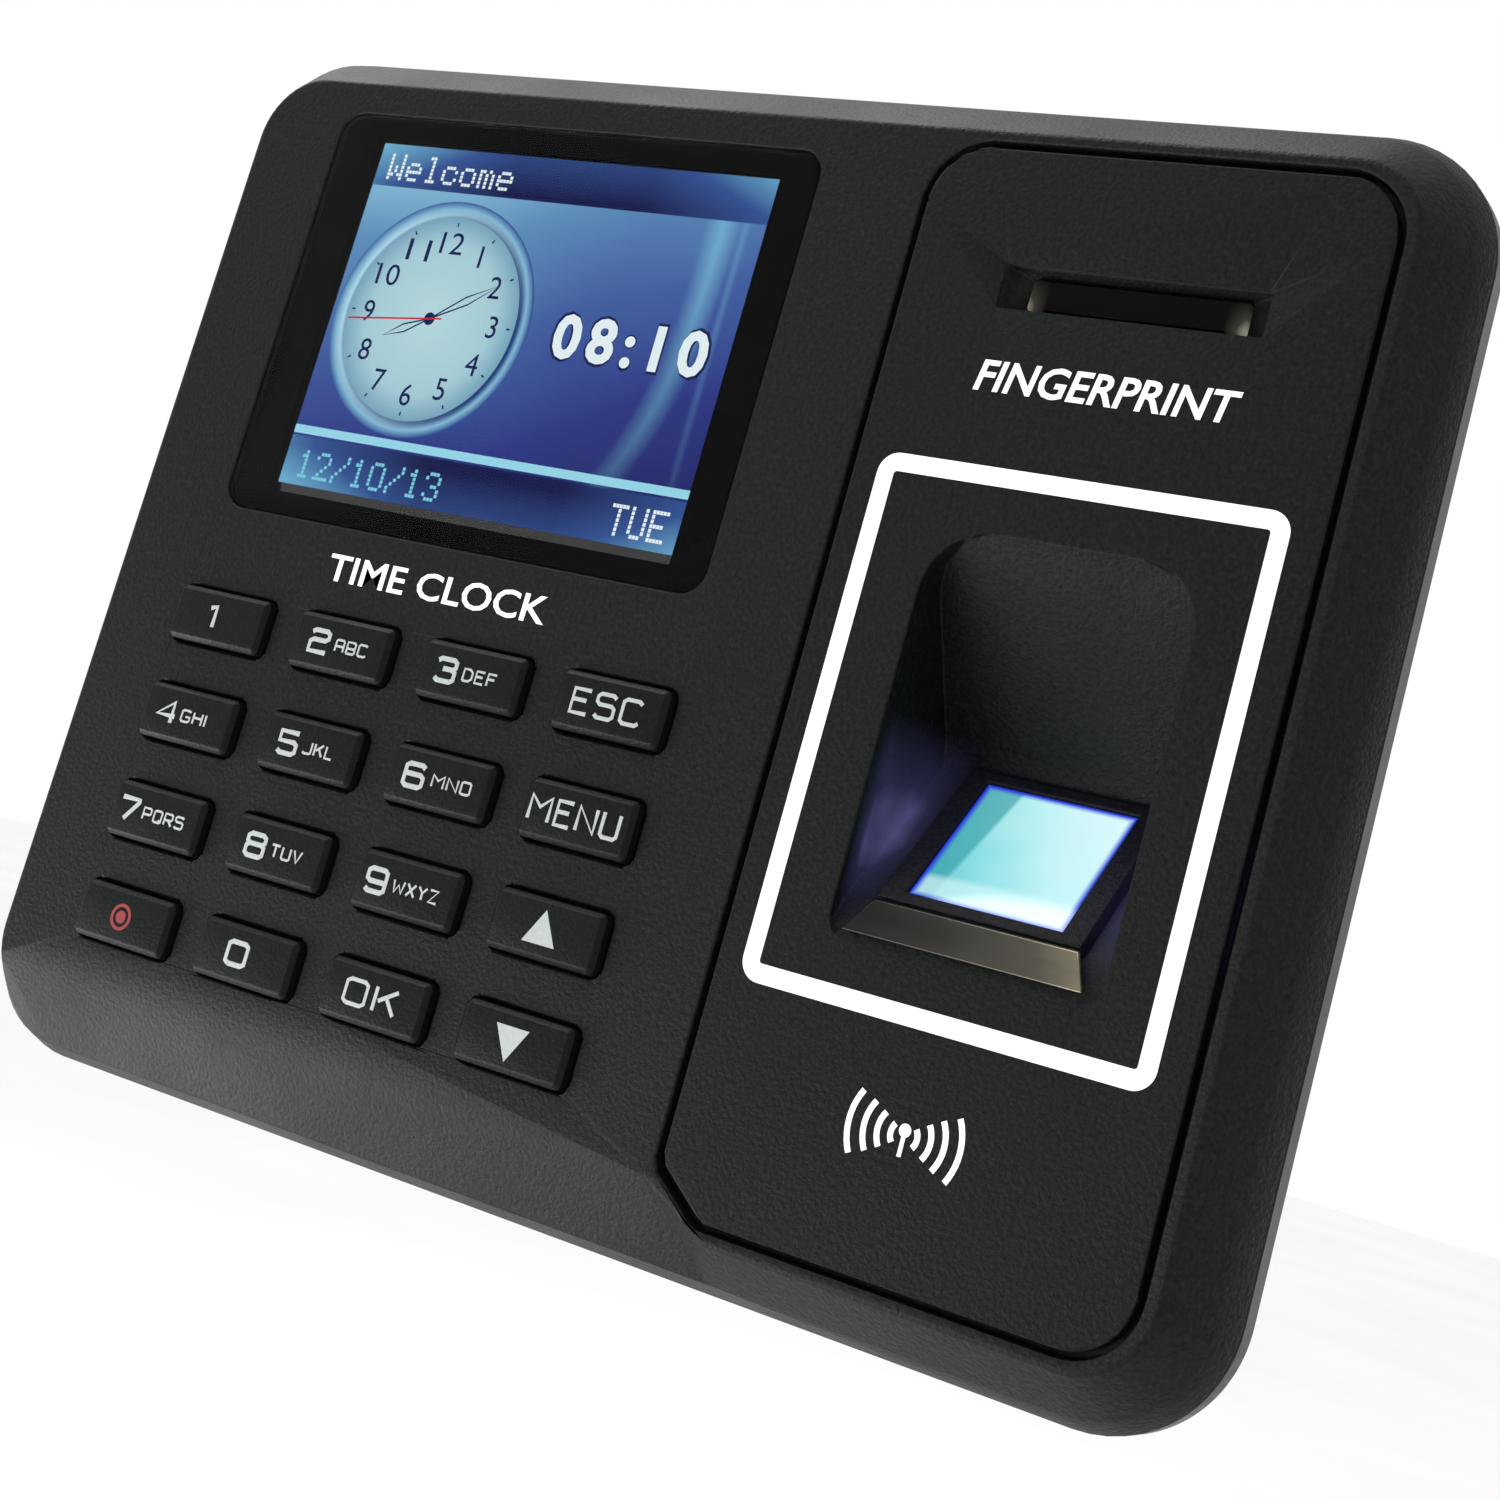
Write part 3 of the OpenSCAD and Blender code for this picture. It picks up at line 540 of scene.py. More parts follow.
def split(tree, vector):
    """The x, y and z of a vector."""
    return add(tree, "ShaderNodeSeparateXYZ", {"Vector": vector}).outputs


def distance(tree, vector):
    return add(tree, "ShaderNodeVectorMath", {0: vector}, operation="LENGTH").outputs["Value"]


def glow(tree, shader, shade, strength):
    """Makes a surface give out a shade of light."""
    tree.links.new(shade, shader.inputs["Emission Color"])
    shader.inputs["Emission Strength"].default_value = strength


def lit_shader(name):
    """A black surface that only gives out light."""
    return base_shader(name, (0, 0, 0, 1), 0.4, specular=0.0)


def lit(name, colour):
    """A lit patch of the screen, with the faint rows of its dots."""
    material, tree, shader, place = lit_shader(name)
    rows = add(tree, "ShaderNodeTexWave", {"Vector": place, "Scale": WAVE / (ROW_PITCH * MM)},
               bands_direction="Z").outputs["Fac"]
    shade = ramp(tree, rows, [(0.0, scaled(colour, 0.93)), (1.0, colour)])
    glow(tree, shader, shade, 1.0)
    return material


def local_place(tree, place, x, z, depth=0.0, tilt=0.0):
    """Object coordinates moved to a spot on the front, in millimetres, x right and y up."""
    spot = (x * MM, FACE_Y + depth * MM, z * MM)
    return add(tree, "ShaderNodeMapping", {
        "Vector": place, "Location": spot, "Rotation": (math.radians(90 - tilt), 0, 0),
        "Scale": (MM, MM, MM)}, vector_type="TEXTURE").outputs[0]


# Finishes --------------------------------------------------------------------

def picture_ground():
    """The picture behind the clock: pale blue above, violet below, with two pale streaks."""
    material, tree, shader, place = lit_shader("picture_ground")
    x, y, _ = split(tree, local_place(tree, place, SCREEN_X, PICTURE_Z))
    slope = plus(tree, times(tree, y, 0.021), times(tree, x, -0.006))
    drift = times(tree, noise(tree, place, 22, 1.0), 0.25)
    height = plus(tree, plus(tree, slope, 0.4), drift)
    shade = ramp(tree, height, [
        (0.0, srgb(34, 38, 104)), (0.3, srgb(46, 58, 136)), (0.6, srgb(68, 98, 164)),
        (0.85, srgb(94, 142, 188)), (1.0, srgb(128, 182, 212))])
    drop = times(tree, calc(tree, "SUBTRACT", 16.0, y), 0.045)
    curve = times(tree, calc(tree, "POWER", drop, 3.0), 2.2)
    away = absolute(tree, plus(tree, calc(tree, "SUBTRACT", x, 23.0), curve))
    beam = remap(tree, away, 0.0, 2.4, 0.6, 0.0)
    ray = remap(tree, absolute(tree, calc(tree, "SUBTRACT", x, 26.0)), 0.0, 0.7, 0.25, 0.0)
    streaks = calc(tree, "ADD", beam, ray, clamp=True)
    fade = times(tree, streaks, remap(tree, y, -14.0, 12.0, 0.3, 1.0))
    shade = mix(tree, fade, shade, srgb(128, 198, 226))
    glow(tree, shader, shade, 0.95)
    return material


def banner_light():
    """The dark banners, paler towards their ends and outer edges."""
    material, tree, shader, place = lit_shader("picture_banner")
    x, y, _ = split(tree, local_place(tree, place, SCREEN_X, PICTURE_Z))
    ends = remap(tree, absolute(tree, calc(tree, "SUBTRACT", x, 2.0)), 10.0, 44.0)
    level = plus(tree, ends, remap(tree, absolute(tree, y), 17.0, 22.0, 0.0, 0.35))
    shade = ramp(tree, level, [(0.0, srgb(20, 26, 78)), (0.5, srgb(52, 84, 150)),
                               (1.0, srgb(120, 190, 222))])
    glow(tree, shader, shade, 0.9)
    return material


def clock_rim_light():
    """The drawn clock's bright metal rim, darker on its inner right side."""
    material, tree, shader, place = lit_shader("clock_rim")
    spot = local_place(tree, place, SCREEN_X + CLOCK_X, PICTURE_Z + CLOCK_Z)
    x, y, _ = split(tree, spot)
    side = remap(tree, plus(tree, x, times(tree, y, -0.4)), -13.0, 13.0)
    ring = remap(tree, distance(tree, spot), 12.6, 14.8)
    bright = ramp(tree, ring, [(0.0, srgb(86, 136, 176)), (0.3, srgb(176, 218, 234)),
                               (0.65, srgb(128, 180, 210)), (1.0, srgb(66, 108, 164))])
    shaded = ramp(tree, ring, [(0.0, srgb(14, 24, 62)), (0.3, srgb(38, 74, 134)),
                               (0.6, srgb(132, 186, 216)), (1.0, srgb(50, 84, 150))])
    shade = mix(tree, side, bright, shaded)
    glow(tree, shader, shade, 0.95)
    return material


def dial_light():
    """The drawn clock's pale dial, a little darker at its edge."""
    material, tree, shader, place = lit_shader("clock_dial")
    spot = local_place(tree, place, SCREEN_X + CLOCK_X, PICTURE_Z + CLOCK_Z)
    shade = ramp(tree, remap(tree, distance(tree, spot), 0.0, 12.8), [
        (0.0, srgb(186, 220, 226)), (0.75, srgb(166, 206, 216)), (1.0, srgb(120, 166, 190))])
    glow(tree, shader, shade, 0.95)
    return material


def prism_light():
    """The lit glass that the finger rests on: white-cyan, teal at the left, blue round it."""
    material, tree, shader, place = base_shader("sensor_glass", srgb(30, 60, 70), 0.08)
    x, y, _ = split(tree, local_place(tree, place, GLASS_X, GLASS_Z, GLASS_D, GLASS_TILT))
    slope = plus(tree, times(tree, x, 0.035), times(tree, y, 0.02))
    cloud = times(tree, noise(tree, place, 5, 1.0), 0.12)
    level = plus(tree, plus(tree, slope, 0.55), cloud)
    shade = ramp(tree, level, [(0.1, srgb(72, 178, 186)), (0.4, srgb(138, 222, 226)),
                               (0.7, srgb(196, 244, 246)), (1.0, srgb(222, 252, 255))])
    inner = plus(tree, x, times(tree, y, -0.12))
    flank = remap(tree, inner, -5.0, -5.5, 0.0, 0.75)
    shade = mix(tree, flank, shade, srgb(48, 160, 168))
    lower = plus(tree, y, times(tree, x, -0.05))
    foot = remap(tree, lower, -4.6, -5.6, 0, 0.6)
    shade = mix(tree, foot, shade, srgb(214, 250, 250))
    side = calc(tree, "MAXIMUM", absolute(tree, x), times(tree, absolute(tree, y), 0.985))
    edge = remap(tree, side, 7.7, 8.35)
    shade = mix(tree, edge, shade, srgb(34, 46, 214))
    glow(tree, shader, shade, 0.95)
    return material


def glowing_recess(name, colour):
    """Moulded plastic with the sensor's blue-violet light spill painted inside the recess as a
    glow.
    """
    material = moulded(name, colour, roughness=0.5, specular=0.1, grain_mm=0.5,
                       grain=0.8, mottle=0.7, wear_and_edge_highlight=0.08)
    tree = material.node_tree
    shader = tree.nodes["Principled BSDF"]
    place = add(tree, "ShaderNodeTexCoord").outputs["Object"]
    spot = local_place(tree, place, GLASS_X, GLASS_Z, GLASS_D)
    x, y, z = split(tree, spot)
    # Painted spill of the sensor's light: strongest deep in the recess, near the glass, on its side
    # walls and at its middle height
    sunk = remap(tree, z, GLASS_D - 0.4, GLASS_D - 3.0)
    near = remap(tree, distance(tree, spot), 30.0, 12.0)
    sides = remap(tree, absolute(tree, x), 11.0, 14.6, 0.1, 1.0)
    level = remap(tree, absolute(tree, plus(tree, y, 1.0)), 12.0, 2.0)
    uneven = remap(tree, noise(tree, place, 7, 2.0), 0.3, 0.7, 0.6, 0.9)
    painted_glow_amount = times(tree, times(tree, sunk, near), times(tree, times(tree, sides, level), uneven))
    shade = ramp(tree, painted_glow_amount, [(0.0, (0, 0, 0, 1)), (0.4, srgb(34, 34, 62)),
                                (0.9, srgb(84, 84, 136))])
    glow(tree, shader, shade, 1.0)
    return material


def window_acrylic():
    """Clear glossy window, faintly smeared."""
    material, tree, shader, place = base_shader("window_acrylic", (1, 1, 1, 1), 0.02)
    shader.inputs["Transmission Weight"].default_value = 1.0
    shader.inputs["IOR"].default_value = 1.1
    smear = noise(tree, place, 14, 2.0)
    tree.links.new(remap(tree, smear, 0.3, 0.7, 0.01, 0.05), shader.inputs["Roughness"])
    return material


def smoked_acrylic():
    """Glossy smoked bar, with faint light painted at both ends as a glow."""
    material, tree, shader, place = base_shader("smoked_acrylic", srgb(4, 4, 4), 0.09,
                                                specular=0.05)
    x, y, _ = split(tree, local_place(tree, place, *LENS_SPOT))
    # Painted light at both ends of the bar, brighter towards its lower edge
    ends = remap(tree, absolute(tree, x), 9.8, 12.0)
    painted_glow_amount = times(tree, ends, remap(tree, y, 1.8, -1.2))
    shade = ramp(tree, painted_glow_amount, [(0.0, (0, 0, 0, 1)), (0.6, srgb(70, 68, 60)),
                                (1.0, srgb(168, 166, 150))])
    glow(tree, shader, shade, 0.6)
    haze = noise(tree, place, 3, 3.0)
    tree.links.new(remap(tree, haze, 0.3, 0.7, 0.06, 0.16), shader.inputs["Roughness"])
    return material


def glossy_lip():
    """Polished wedge under the glass, with a warm grey reflection painted into its colour that
    fades to the left.
    """
    colour = srgb(62, 58, 50)
    material, tree, shader, place = base_shader("polished_lip", colour, 0.2, 0.75, 0.6)
    streak = add(tree, "ShaderNodeMapping", {"Vector": place, "Scale": (0.12, 1, 0.5)}).outputs[0]
    cloud = noise(tree, streak, 2.2, 4.0)
    spot = middle("sensor_lip")
    x = split(tree, local_place(tree, place, spot.x, spot.z))[0]
    # Painted reflection: dark at the left, warm grey at the right, with soft streaks
    level = plus(tree, remap(tree, x, -11.0, 13.0, 0.0, 0.8), times(tree, cloud, 0.3))
    shade = ramp(tree, level, [(0.15, srgb(24, 24, 22)), (0.45, srgb(44, 43, 39)),
                               (0.75, srgb(78, 75, 66)), (0.95, srgb(126, 119, 100))])
    tree.links.new(shade, shader.inputs["Base Color"])
    tree.links.new(remap(tree, cloud, 0.3, 0.7, 0.14, 0.3), shader.inputs["Roughness"])
    bump(tree, shader, noise(tree, place, 0.3, 3.0), 0.1, 0.02)
    return material


def board_green():
    """Solder mask over fine copper tracks."""
    material, tree, shader, place = base_shader("board_green", srgb(16, 74, 44), 0.35)
    patch = add(tree, "ShaderNodeTexVoronoi", {"Vector": place, "Scale": 150.0},
                distance="CHEBYCHEV").outputs["Color"]
    pick = calc(tree, "GREATER_THAN", split(tree, patch)[0], 0.5)
    across = add(tree, "ShaderNodeTexWave", {"Vector": place, "Scale": 240.0},
                 bands_direction="X").outputs["Fac"]
    along = add(tree, "ShaderNodeTexWave", {"Vector": place, "Scale": 240.0},
                bands_direction="Z").outputs["Fac"]
    other = calc(tree, "SUBTRACT", 1.0, pick)
    bands = plus(tree, times(tree, across, pick), times(tree, along, other))
    tracks = remap(tree, bands, 0.55, 0.75)
    shade = mix(tree, tracks, srgb(10, 50, 30), srgb(24, 84, 48))
    tree.links.new(shade, shader.inputs["Base Color"])
    bump(tree, shader, tracks, 0.2, 0.03)
    return material


def foam_black():
    """Open-cell gasket foam."""
    material, tree, shader, place = base_shader("gasket_foam", srgb(24, 24, 25), 0.9)
    cells = add(tree, "ShaderNodeTexVoronoi", {"Vector": place, "Scale": 3200.0}).outputs[0]
    tree.links.new(ramp(tree, cells, [(0.1, srgb(14, 14, 15)), (0.7, srgb(42, 42, 44))]),
                   shader.inputs["Base Color"])
    bump(tree, shader, cells, 0.6, 0.08)
    return material


def make_finishes():
    """Every finish of the terminal, by a plain name.

    After its colour, moulded takes a roughness, specular level, grain size in millimetres,
    grain depth, mottle and edge wear with a painted edge highlight, and metal a roughness,
    its brushing along x, y and z and the depth of its scratches."""
    return {
        "shell": moulded("shell_black", srgb(15, 18.5, 18), 0.48, 0.11, 0.5, 0.8, 0.7, 0.1),
        "panel": glowing_recess("panel_black", srgb(14, 17, 16.5)),
        "rear": moulded("rear_black", srgb(18, 19, 19), 0.44, 0.16, 0.5, 0.35, 0.3, 0.12),
        "key": moulded("key_black", srgb(12, 14, 14), 0.42, 0.1, 0.4, 0.5, 0.5, 0.12),
        "bezel": glowing_recess("bezel_black", srgb(17, 17, 18)),
        "white_ink": ink("white_ink", srgb(238, 240, 240)),
        "key_ink": ink("key_ink", srgb(158, 164, 160)),
        "red_ink": ink("red_ink", srgb(122, 40, 42)),
        "border_ink": moulded("border_ink", srgb(4, 4, 5), 0.25, 0.03, 3, 0.01, 0.1),
        "window": window_acrylic(),
        "smoked": smoked_acrylic(),
        "lip": glossy_lip(),
        "prism": prism_light(),
        "ground": picture_ground(),
        "banner": banner_light(),
        "rim": clock_rim_light(),
        "dial": dial_light(),
        "navy": lit("screen_navy", srgb(26, 34, 84)),
        "pale_line": lit("screen_line", srgb(150, 214, 232)),
        "screen_white": lit("screen_white", srgb(226, 240, 244)),
        "screen_cyan": lit("screen_cyan", srgb(126, 206, 224)),
        "screen_red": lit("screen_red", srgb(196, 38, 60)),
        "lcd_black": moulded("lcd_black", srgb(12, 12, 14), 0.15, 0.5, 2, 0.02, 0.2),
        "steel": metal("bright_steel", srgb(196, 198, 200), 0.28, (0.1, 1, 1)),
        "plate": metal("plate_steel", srgb(112, 115, 118), 0.5, (0.08, 1, 1), 0.3),
        "screw_black": metal("screw_black", srgb(52, 52, 54), 0.36),
        "screw_steel": metal("screw_steel", srgb(186, 186, 184), 0.3),
        "copper": metal("copper", srgb(196, 122, 78), 0.3),
        "board": board_green(),
        "foam": foam_black(),
        "chip": moulded("chip_black", srgb(28, 28, 30), 0.45, 0.3, 0.3, 0.2),
        "silicone": moulded("silicone_grey", srgb(92, 94, 96), 0.7, 0.2, 0.3, 0.2, 0.1),
        "cream": moulded("header_cream", srgb(222, 214, 190), 0.45, 0.4, 0.5, 0.15, 0.05),
        "white": moulded("plastic_white", srgb(222, 222, 216), 0.4, 0.4, 0.5, 0.15, 0.05),
        "green": moulded("terminal_green", srgb(38, 120, 62), 0.42, 0.4, 0.5, 0.2, 0.08),
        "amber": moulded("cable_amber", srgb(190, 120, 40), 0.35, 0.4, 0.6, 0.1, 0.08),
        "led": moulded("led_white", srgb(232, 230, 214), 0.3, 0.5, 0.5, 0.1, 0.04),
        "jack": moulded("jack_black", srgb(20, 20, 21), 0.38, 0.35, 0.5, 0.2, 0.2, 0.2),
        "glass": moulded("lens_glass", srgb(18, 22, 34), 0.06, 0.6, 1.5, 0.02, 0.15),
    }


# Housing ---------------------------------------------------------------------

def make_housing(finish):
    """The moulded and metal parts that keep their shape and get rounded edges."""
    soften("front_cover_shell", "front_cover", finish["shell"], 0.3,
           least=0.2)
    soften("sensor_panel_shell", "sensor_panel", finish["panel"], 0.25,
           least=0.4, keep="status_lens")
    soften("rear_cover_shell", "rear_cover", finish["rear"], 0.3,
           least=1.2)
    soften("sensor_bezel_frame", "sensor_bezel", finish["bezel"], 0.18)
    wedge = soften("sensor_lip_wedge", "sensor_lip", finish["lip"], 0.2)
    mitre_ends(wedge)
    soften("wall_plate_sheet", "wall_plate", finish["plate"], 0.15)
    soften("lock_screw_turned", "lock_screw", finish["screw_steel"], 0.12)
    soften("cover_screws_turned", "cover_screws", finish["screw_black"], 0.12)
    soften("tamper_plunger_moulded", "tamper_plunger", finish["white"], 0.15,
           body="tamper_plunger_body")


def mitre_ends(wedge):
    """The lip is narrower where it meets the glass."""
    low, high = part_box("sensor_lip")
    centre = (low[0] + high[0]) / 2
    bm = bmesh.new()
    bm.from_mesh(wedge.data)
    for vert in bm.verts:
        upward = (vert.co.z - low[2]) / (high[2] - low[2])
        vert.co.x = centre + (vert.co.x - centre) * (1 - 0.15 * upward)
    bm.to_mesh(wedge.data)
    bm.free()


def make_lens(finish):
    """The smoked bar in the slot above the sensor."""
    size = spread("status_lens")
    spot = middle("status_lens")
    bar = slab(size.x, size.z, size.y, 0.3, 0.35, 3, 3)
    make_piece("status_lens_bar", bar, finish["smoked"],
               face_place(spot.x, spot.z, front_depth("status_lens")), nodes=["status_lens"])


# Keys ------------------------------------------------------------------------

# A key's cap, flange and stem in millimetres, with depths behind the front face
FLANGE_RIM = 0.8
FLANGE_T = 0.8
FLANGE_D = 2.3
CAP_FOOT = 2.4
CAP_CHAMFER = 0.55
STEM_R = 2.0
STEM_D = 3.0


def key_shape(size, rise, stem):
    """One key: a chamfered cap on a thin flange, with its stem behind."""
    cap = slab(size.x - 2 * FLANGE_RIM, size.z - 2 * FLANGE_RIM, CAP_FOOT + rise, 0.8, 0.0, 5)
    rim = [e for e in cap.edges if min(v.co.z for v in e.verts) > -0.001]
    round_edges(cap, rim, CAP_CHAMFER, 1)
    tops = [e for e in cap.edges if len(e.link_faces) == 2 and
            math.degrees(e.calc_face_angle(0)) > 30 and max(v.co.z for v in e.verts) > -0.8]
    round_edges(cap, tops, 0.09, 2)
    flange = slab(size.x, size.z, FLANGE_T, 1.0, 0.1, 5)
    bar = rod(STEM_R, 0.0, -stem, 28, 0.15)
    return join([(cap, (0, 0, 0)), (flange, (0, 0, -rise - FLANGE_D)),
                 (bar, (0, 0, -rise - STEM_D))])


def make_keys(finish):
    """Every key with its mark, each riding on its own body."""
    for key in ALL_KEYS:
        spot = middle(key)
        size = spread(key)
        top = front_depth(key)
        shape = key_shape(size, -top, size.y + top - STEM_D)
        body = key + "_cap"
        place = face_place(spot.x, spot.z, top)
        make_piece(key + "_moulded", shape, finish["key"], place, body, [key], 40)
        make_legend(key, finish, face_place(spot.x, spot.z, top - INK / 2), body)


def triangle(pointing):
    """A filled arrowhead that points up or down."""
    bm = bmesh.new()
    bmesh.ops.create_circle(bm, cap_ends=True, segments=3, radius=2.4,
                            matrix=Matrix.Scale(pointing, 4))
    bmesh.ops.scale(bm, vec=(1.04, 1.02, 1), verts=bm.verts[:])
    bmesh.ops.translate(bm, vec=(-0.2, -0.4 * pointing, INK / 2), verts=bm.verts[:])
    thicken(bm, INK)
    return bm


def make_legend(key, finish, place, body):
    """A key's printed mark."""
    coat = finish["key_ink"]
    name = key + "_legend"
    if key in ("key_up", "key_down"):
        mark = triangle(1 if key == "key_up" else -1)
    elif key == "key_bell":
        coat = finish["red_ink"]
        mark = join([(disc(1.55, INK, 40, 1.15), (-0.2, 0, INK / 2)),
                     (disc(0.75, INK, 28), (-0.2, 0, INK / 2))])
    else:
        mark = legend_lines(*LEGENDS[key])
    make_piece(name, mark, coat, place, body, smooth=60)


def legend_lines(big, left, right, small, small_left, small_right):
    """The big mark, and the small letters that follow it at half height."""
    stroke = 0.58 if len(big) == 1 else 0.46
    edge = stroke / 2
    paths = letter_strokes(big, left + edge, right - edge, edge - 1.45, 1.6 - edge)
    lines = [(stroke_lines(paths, stroke, INK), (0, 0, 0))]
    if small:
        paths = letter_strokes(small, small_left + 0.15, small_right - 0.15, -0.6, 0.72)
        lines.append((stroke_lines(paths, 0.28, INK), (0, 0, 0)))
    return join(lines)


# Prints ----------------------------------------------------------------------

# The marks' centres and the frame's size and line width, in millimetres
FRAME_SPOT = (47.1, -5.15)
FRAME_W = 45.4
FRAME_H = 55.7
FRAME_LINE = 1.95
SENSOR_WORD_SPOT = (47.2, 32.1)
SCREEN_WORD_SPOT = (-27.3, -0.9)
WAVE_SPOT = (46.7, -42.9)


def print_mark(name, mark, coat, spot, proud=0.9):
    """A mark on the front face, with a share of its ink standing proud."""
    make_piece(name, mark, coat, face_place(*spot, -INK * proud))


def make_prints(finish):
    """The white marks on the front face."""
    white = finish["white_ink"]
    edge = band(FRAME_W, FRAME_H, FRAME_W - 2 * FRAME_LINE, FRAME_H - 2 * FRAME_LINE, INK, 2.3, 8)
    print_mark("sensor_frame_print", edge, white, FRAME_SPOT)
    word = words("FINGERPRINT", 29, 3.4, INK, 0.018, 0.18)
    print_mark("sensor_word_print", word, white, SENSOR_WORD_SPOT)
    word = words("TIME CLOCK", 32, 3.2, INK, 0.012)
    print_mark("screen_word_print", word, white, SCREEN_WORD_SPOT)
    print_mark("radio_wave_print", wave_mark(), white, WAVE_SPOT, proud=0.4)


def wave_mark():
    """A little aerial between four arcs a side."""
    paths = []
    for reach, half in ((1.45, 38), (2.9, 35), (4.4, 33), (6.1, 30)):
        for side in (-1, 1):
            turns = [math.radians(half * (step / 5 - 1)) for step in range(11)]
            paths.append([(side * reach * math.cos(t), reach * math.sin(t)) for t in turns])
    arcs = stroke_lines(paths, 0.62, INK)
    stem = stroke_lines([[(0, 0.4), (0, -2.0)]], 0.45, INK)
    return join([(arcs, (0, 0, 0)), (stem, (0, 0, 0)), (disc(0.65, INK, 24), (0, 0.5, INK / 2))])


# Screen ----------------------------------------------------------------------

def screen_piece(name, bm, coat, x, z, depth):
    """A layer of the picture, placed from the picture's middle."""
    make_piece(name, bm, coat, face_place(SCREEN_X + x, PICTURE_Z + z, depth))


def make_window(finish):
    """The clear pane, with a black border printed just inside its back."""
    size = spread("screen_window")
    depth = front_depth("screen_window")
    pane = slab(size.x, size.z, size.y, 3.0, 0.18, 6, 2)
    make_piece("screen_window_pane", pane, finish["window"],
               face_place(SCREEN_X, SCREEN_Z, depth), nodes=["screen_window"])
    border = band(size.x - 0.1, size.z - 0.1, LIT_W + 0.6, LIT_H + 1.3, BORDER_T, 2.9)
    make_piece("window_border_print", border, finish["border_ink"],
               face_place(SCREEN_X, SCREEN_Z, depth + size.y - 1.5 * BORDER_T))


def make_picture(finish):
    """The lit picture in thin layers: ground, banners, words and the time."""
    screen_piece("picture_ground", slab(LIT_W, LIT_H, LAYER_T), finish["ground"], 0, 0, GROUND_D)
    top = slab(LIT_W, TOP_BANNER_H, LAYER_T)
    screen_piece("picture_top_banner", top, finish["banner"], 0, (LIT_H - TOP_BANNER_H) / 2,
                 BANNER_D)
    foot = slab(LIT_W, FOOT_BANNER_H, LAYER_T)
    screen_piece("picture_foot_banner", foot, finish["banner"], 0, (FOOT_BANNER_H - LIT_H) / 2,
                 BANNER_D)
    line = slab(LIT_W, 1.05, LAYER_T)
    screen_piece("picture_line", line, finish["pale_line"], 0, -15.0, BANNER_D)
    hello = dot_words("Welcome", -27.3, -8.0, 17.2, 20.6, LAYER_T)
    screen_piece("picture_greeting", hello, finish["screen_white"], 0, 0, WORD_D)
    date = dot_words("12/10/13", -27.0, -5.0, -20.9, -17.4, LAYER_T)
    screen_piece("picture_date", date, finish["screen_cyan"], 0, 0, WORD_D)
    day = dot_words("TUE", 19.3, 27.0, -20.9, -17.2, LAYER_T)
    screen_piece("picture_day", day, finish["screen_white"], 0, 0, WORD_D)
    shade = words("08:10", 22.0, 6.2, LAYER_T, 0.05, spacing=1.3)
    screen_piece("picture_time_shade", shade, finish["navy"], 15.2, 0.7, DIAL_D)
    time = words("08:10", 21.3, 5.5, LAYER_T, 0.032, spacing=1.3)
    screen_piece("picture_time", time, finish["screen_white"], 15.2, 0.7, WORD_D)


def make_clock(finish):
    """The drawn clock at ten past eight."""
    screen_piece("clock_rim", disc(14.75, LAYER_T, 96, 12.5), finish["rim"],
                 CLOCK_X, CLOCK_Z, RIM_D)
    screen_piece("clock_dial", disc(12.7, LAYER_T, 96), finish["dial"], CLOCK_X, CLOCK_Z, DIAL_D)
    numbers = []
    ticks = []
    for hour in range(1, 13):
        turn = math.radians(90 - hour * 30)
        reach = Vector((math.cos(turn), math.sin(turn), 0))
        figure = words(str(hour), None if hour < 10 else 3.4, 2.7, LAYER_T, 0.0)
        numbers.append((figure, reach * 9.5))
        ticks.append([tuple(reach.xy * 11.6), tuple(reach.xy * 12.1)])
    screen_piece("clock_numbers", join(numbers), finish["navy"], CLOCK_X, CLOCK_Z, WORD_D)
    marks = stroke_lines(ticks, 0.22, LAYER_T)
    screen_piece("clock_marks", marks, finish["navy"], CLOCK_X, CLOCK_Z, WORD_D)
    hands = [hand_outline(-156, 6.8, 0.5), hand_outline(30, 10.0, 0.5)]
    screen_piece("clock_hands", stroke_lines(hands, 0.2, LAYER_T), finish["navy"],
                 CLOCK_X, CLOCK_Z, HAND_D)
    sweep = stroke_lines([[(-12.3, -1.2), (1.8, 0.18)]], 0.22, LAYER_T)
    screen_piece("clock_second_hand", sweep, finish["screen_red"], CLOCK_X, CLOCK_Z, HUB_D)
    screen_piece("clock_hub", disc(0.8, LAYER_T, 24), finish["navy"], CLOCK_X, CLOCK_Z,
                 HUB_D + 0.005)


def hand_outline(degrees, length, half):
    """A slim leaf-shaped hand drawn as an outline."""
    turn = Matrix.Rotation(math.radians(degrees), 2)
    shape = [(0, 0), (length * 0.55, half), (length, 0), (length * 0.55, -half), (0, 0)]
    return [tuple(turn @ Vector(point)) for point in shape]


# Inner parts -----------------------------------------------------------------

def coat_nodes(finish):
    """The inner parts keep their shape and get their own finish."""
    coats = {
        "foam": ["display_gasket"], "lcd_black": ["lcd_panel"], "steel": ["lcd_frame"],
        "board": ["status_light_board", "sensor_board", "keypad_board", "main_board",
                  "reader_antenna_board"],
        "led": ["status_leds", "sensor_leds"], "prism": ["sensor_prism"],
        "jack": ["sensor_housing", "power_jack", "clock_battery_holder", "tamper_switch"],
        "glass": ["sensor_camera_lens"], "silicone": ["keypad_mat"],
        "chip": ["processor_chips", "speaker"], "cream": ["cable_headers"],
        "screw_steel": ["clock_battery", "terminal_screws", "board_screws", "small_screws"],
        "copper": ["reader_antenna_coil"], "white": ["network_jack", "sensor_cable"],
        "green": ["terminal_block"], "amber": ["display_cable", "keypad_cable"],
    }
    for coat, nodes in coats.items():
        for node in nodes:
            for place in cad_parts[node].material_slots:
                place.material = finish[coat]


# Stage -----------------------------------------------------------------------

FLOOR_Z = -0.32


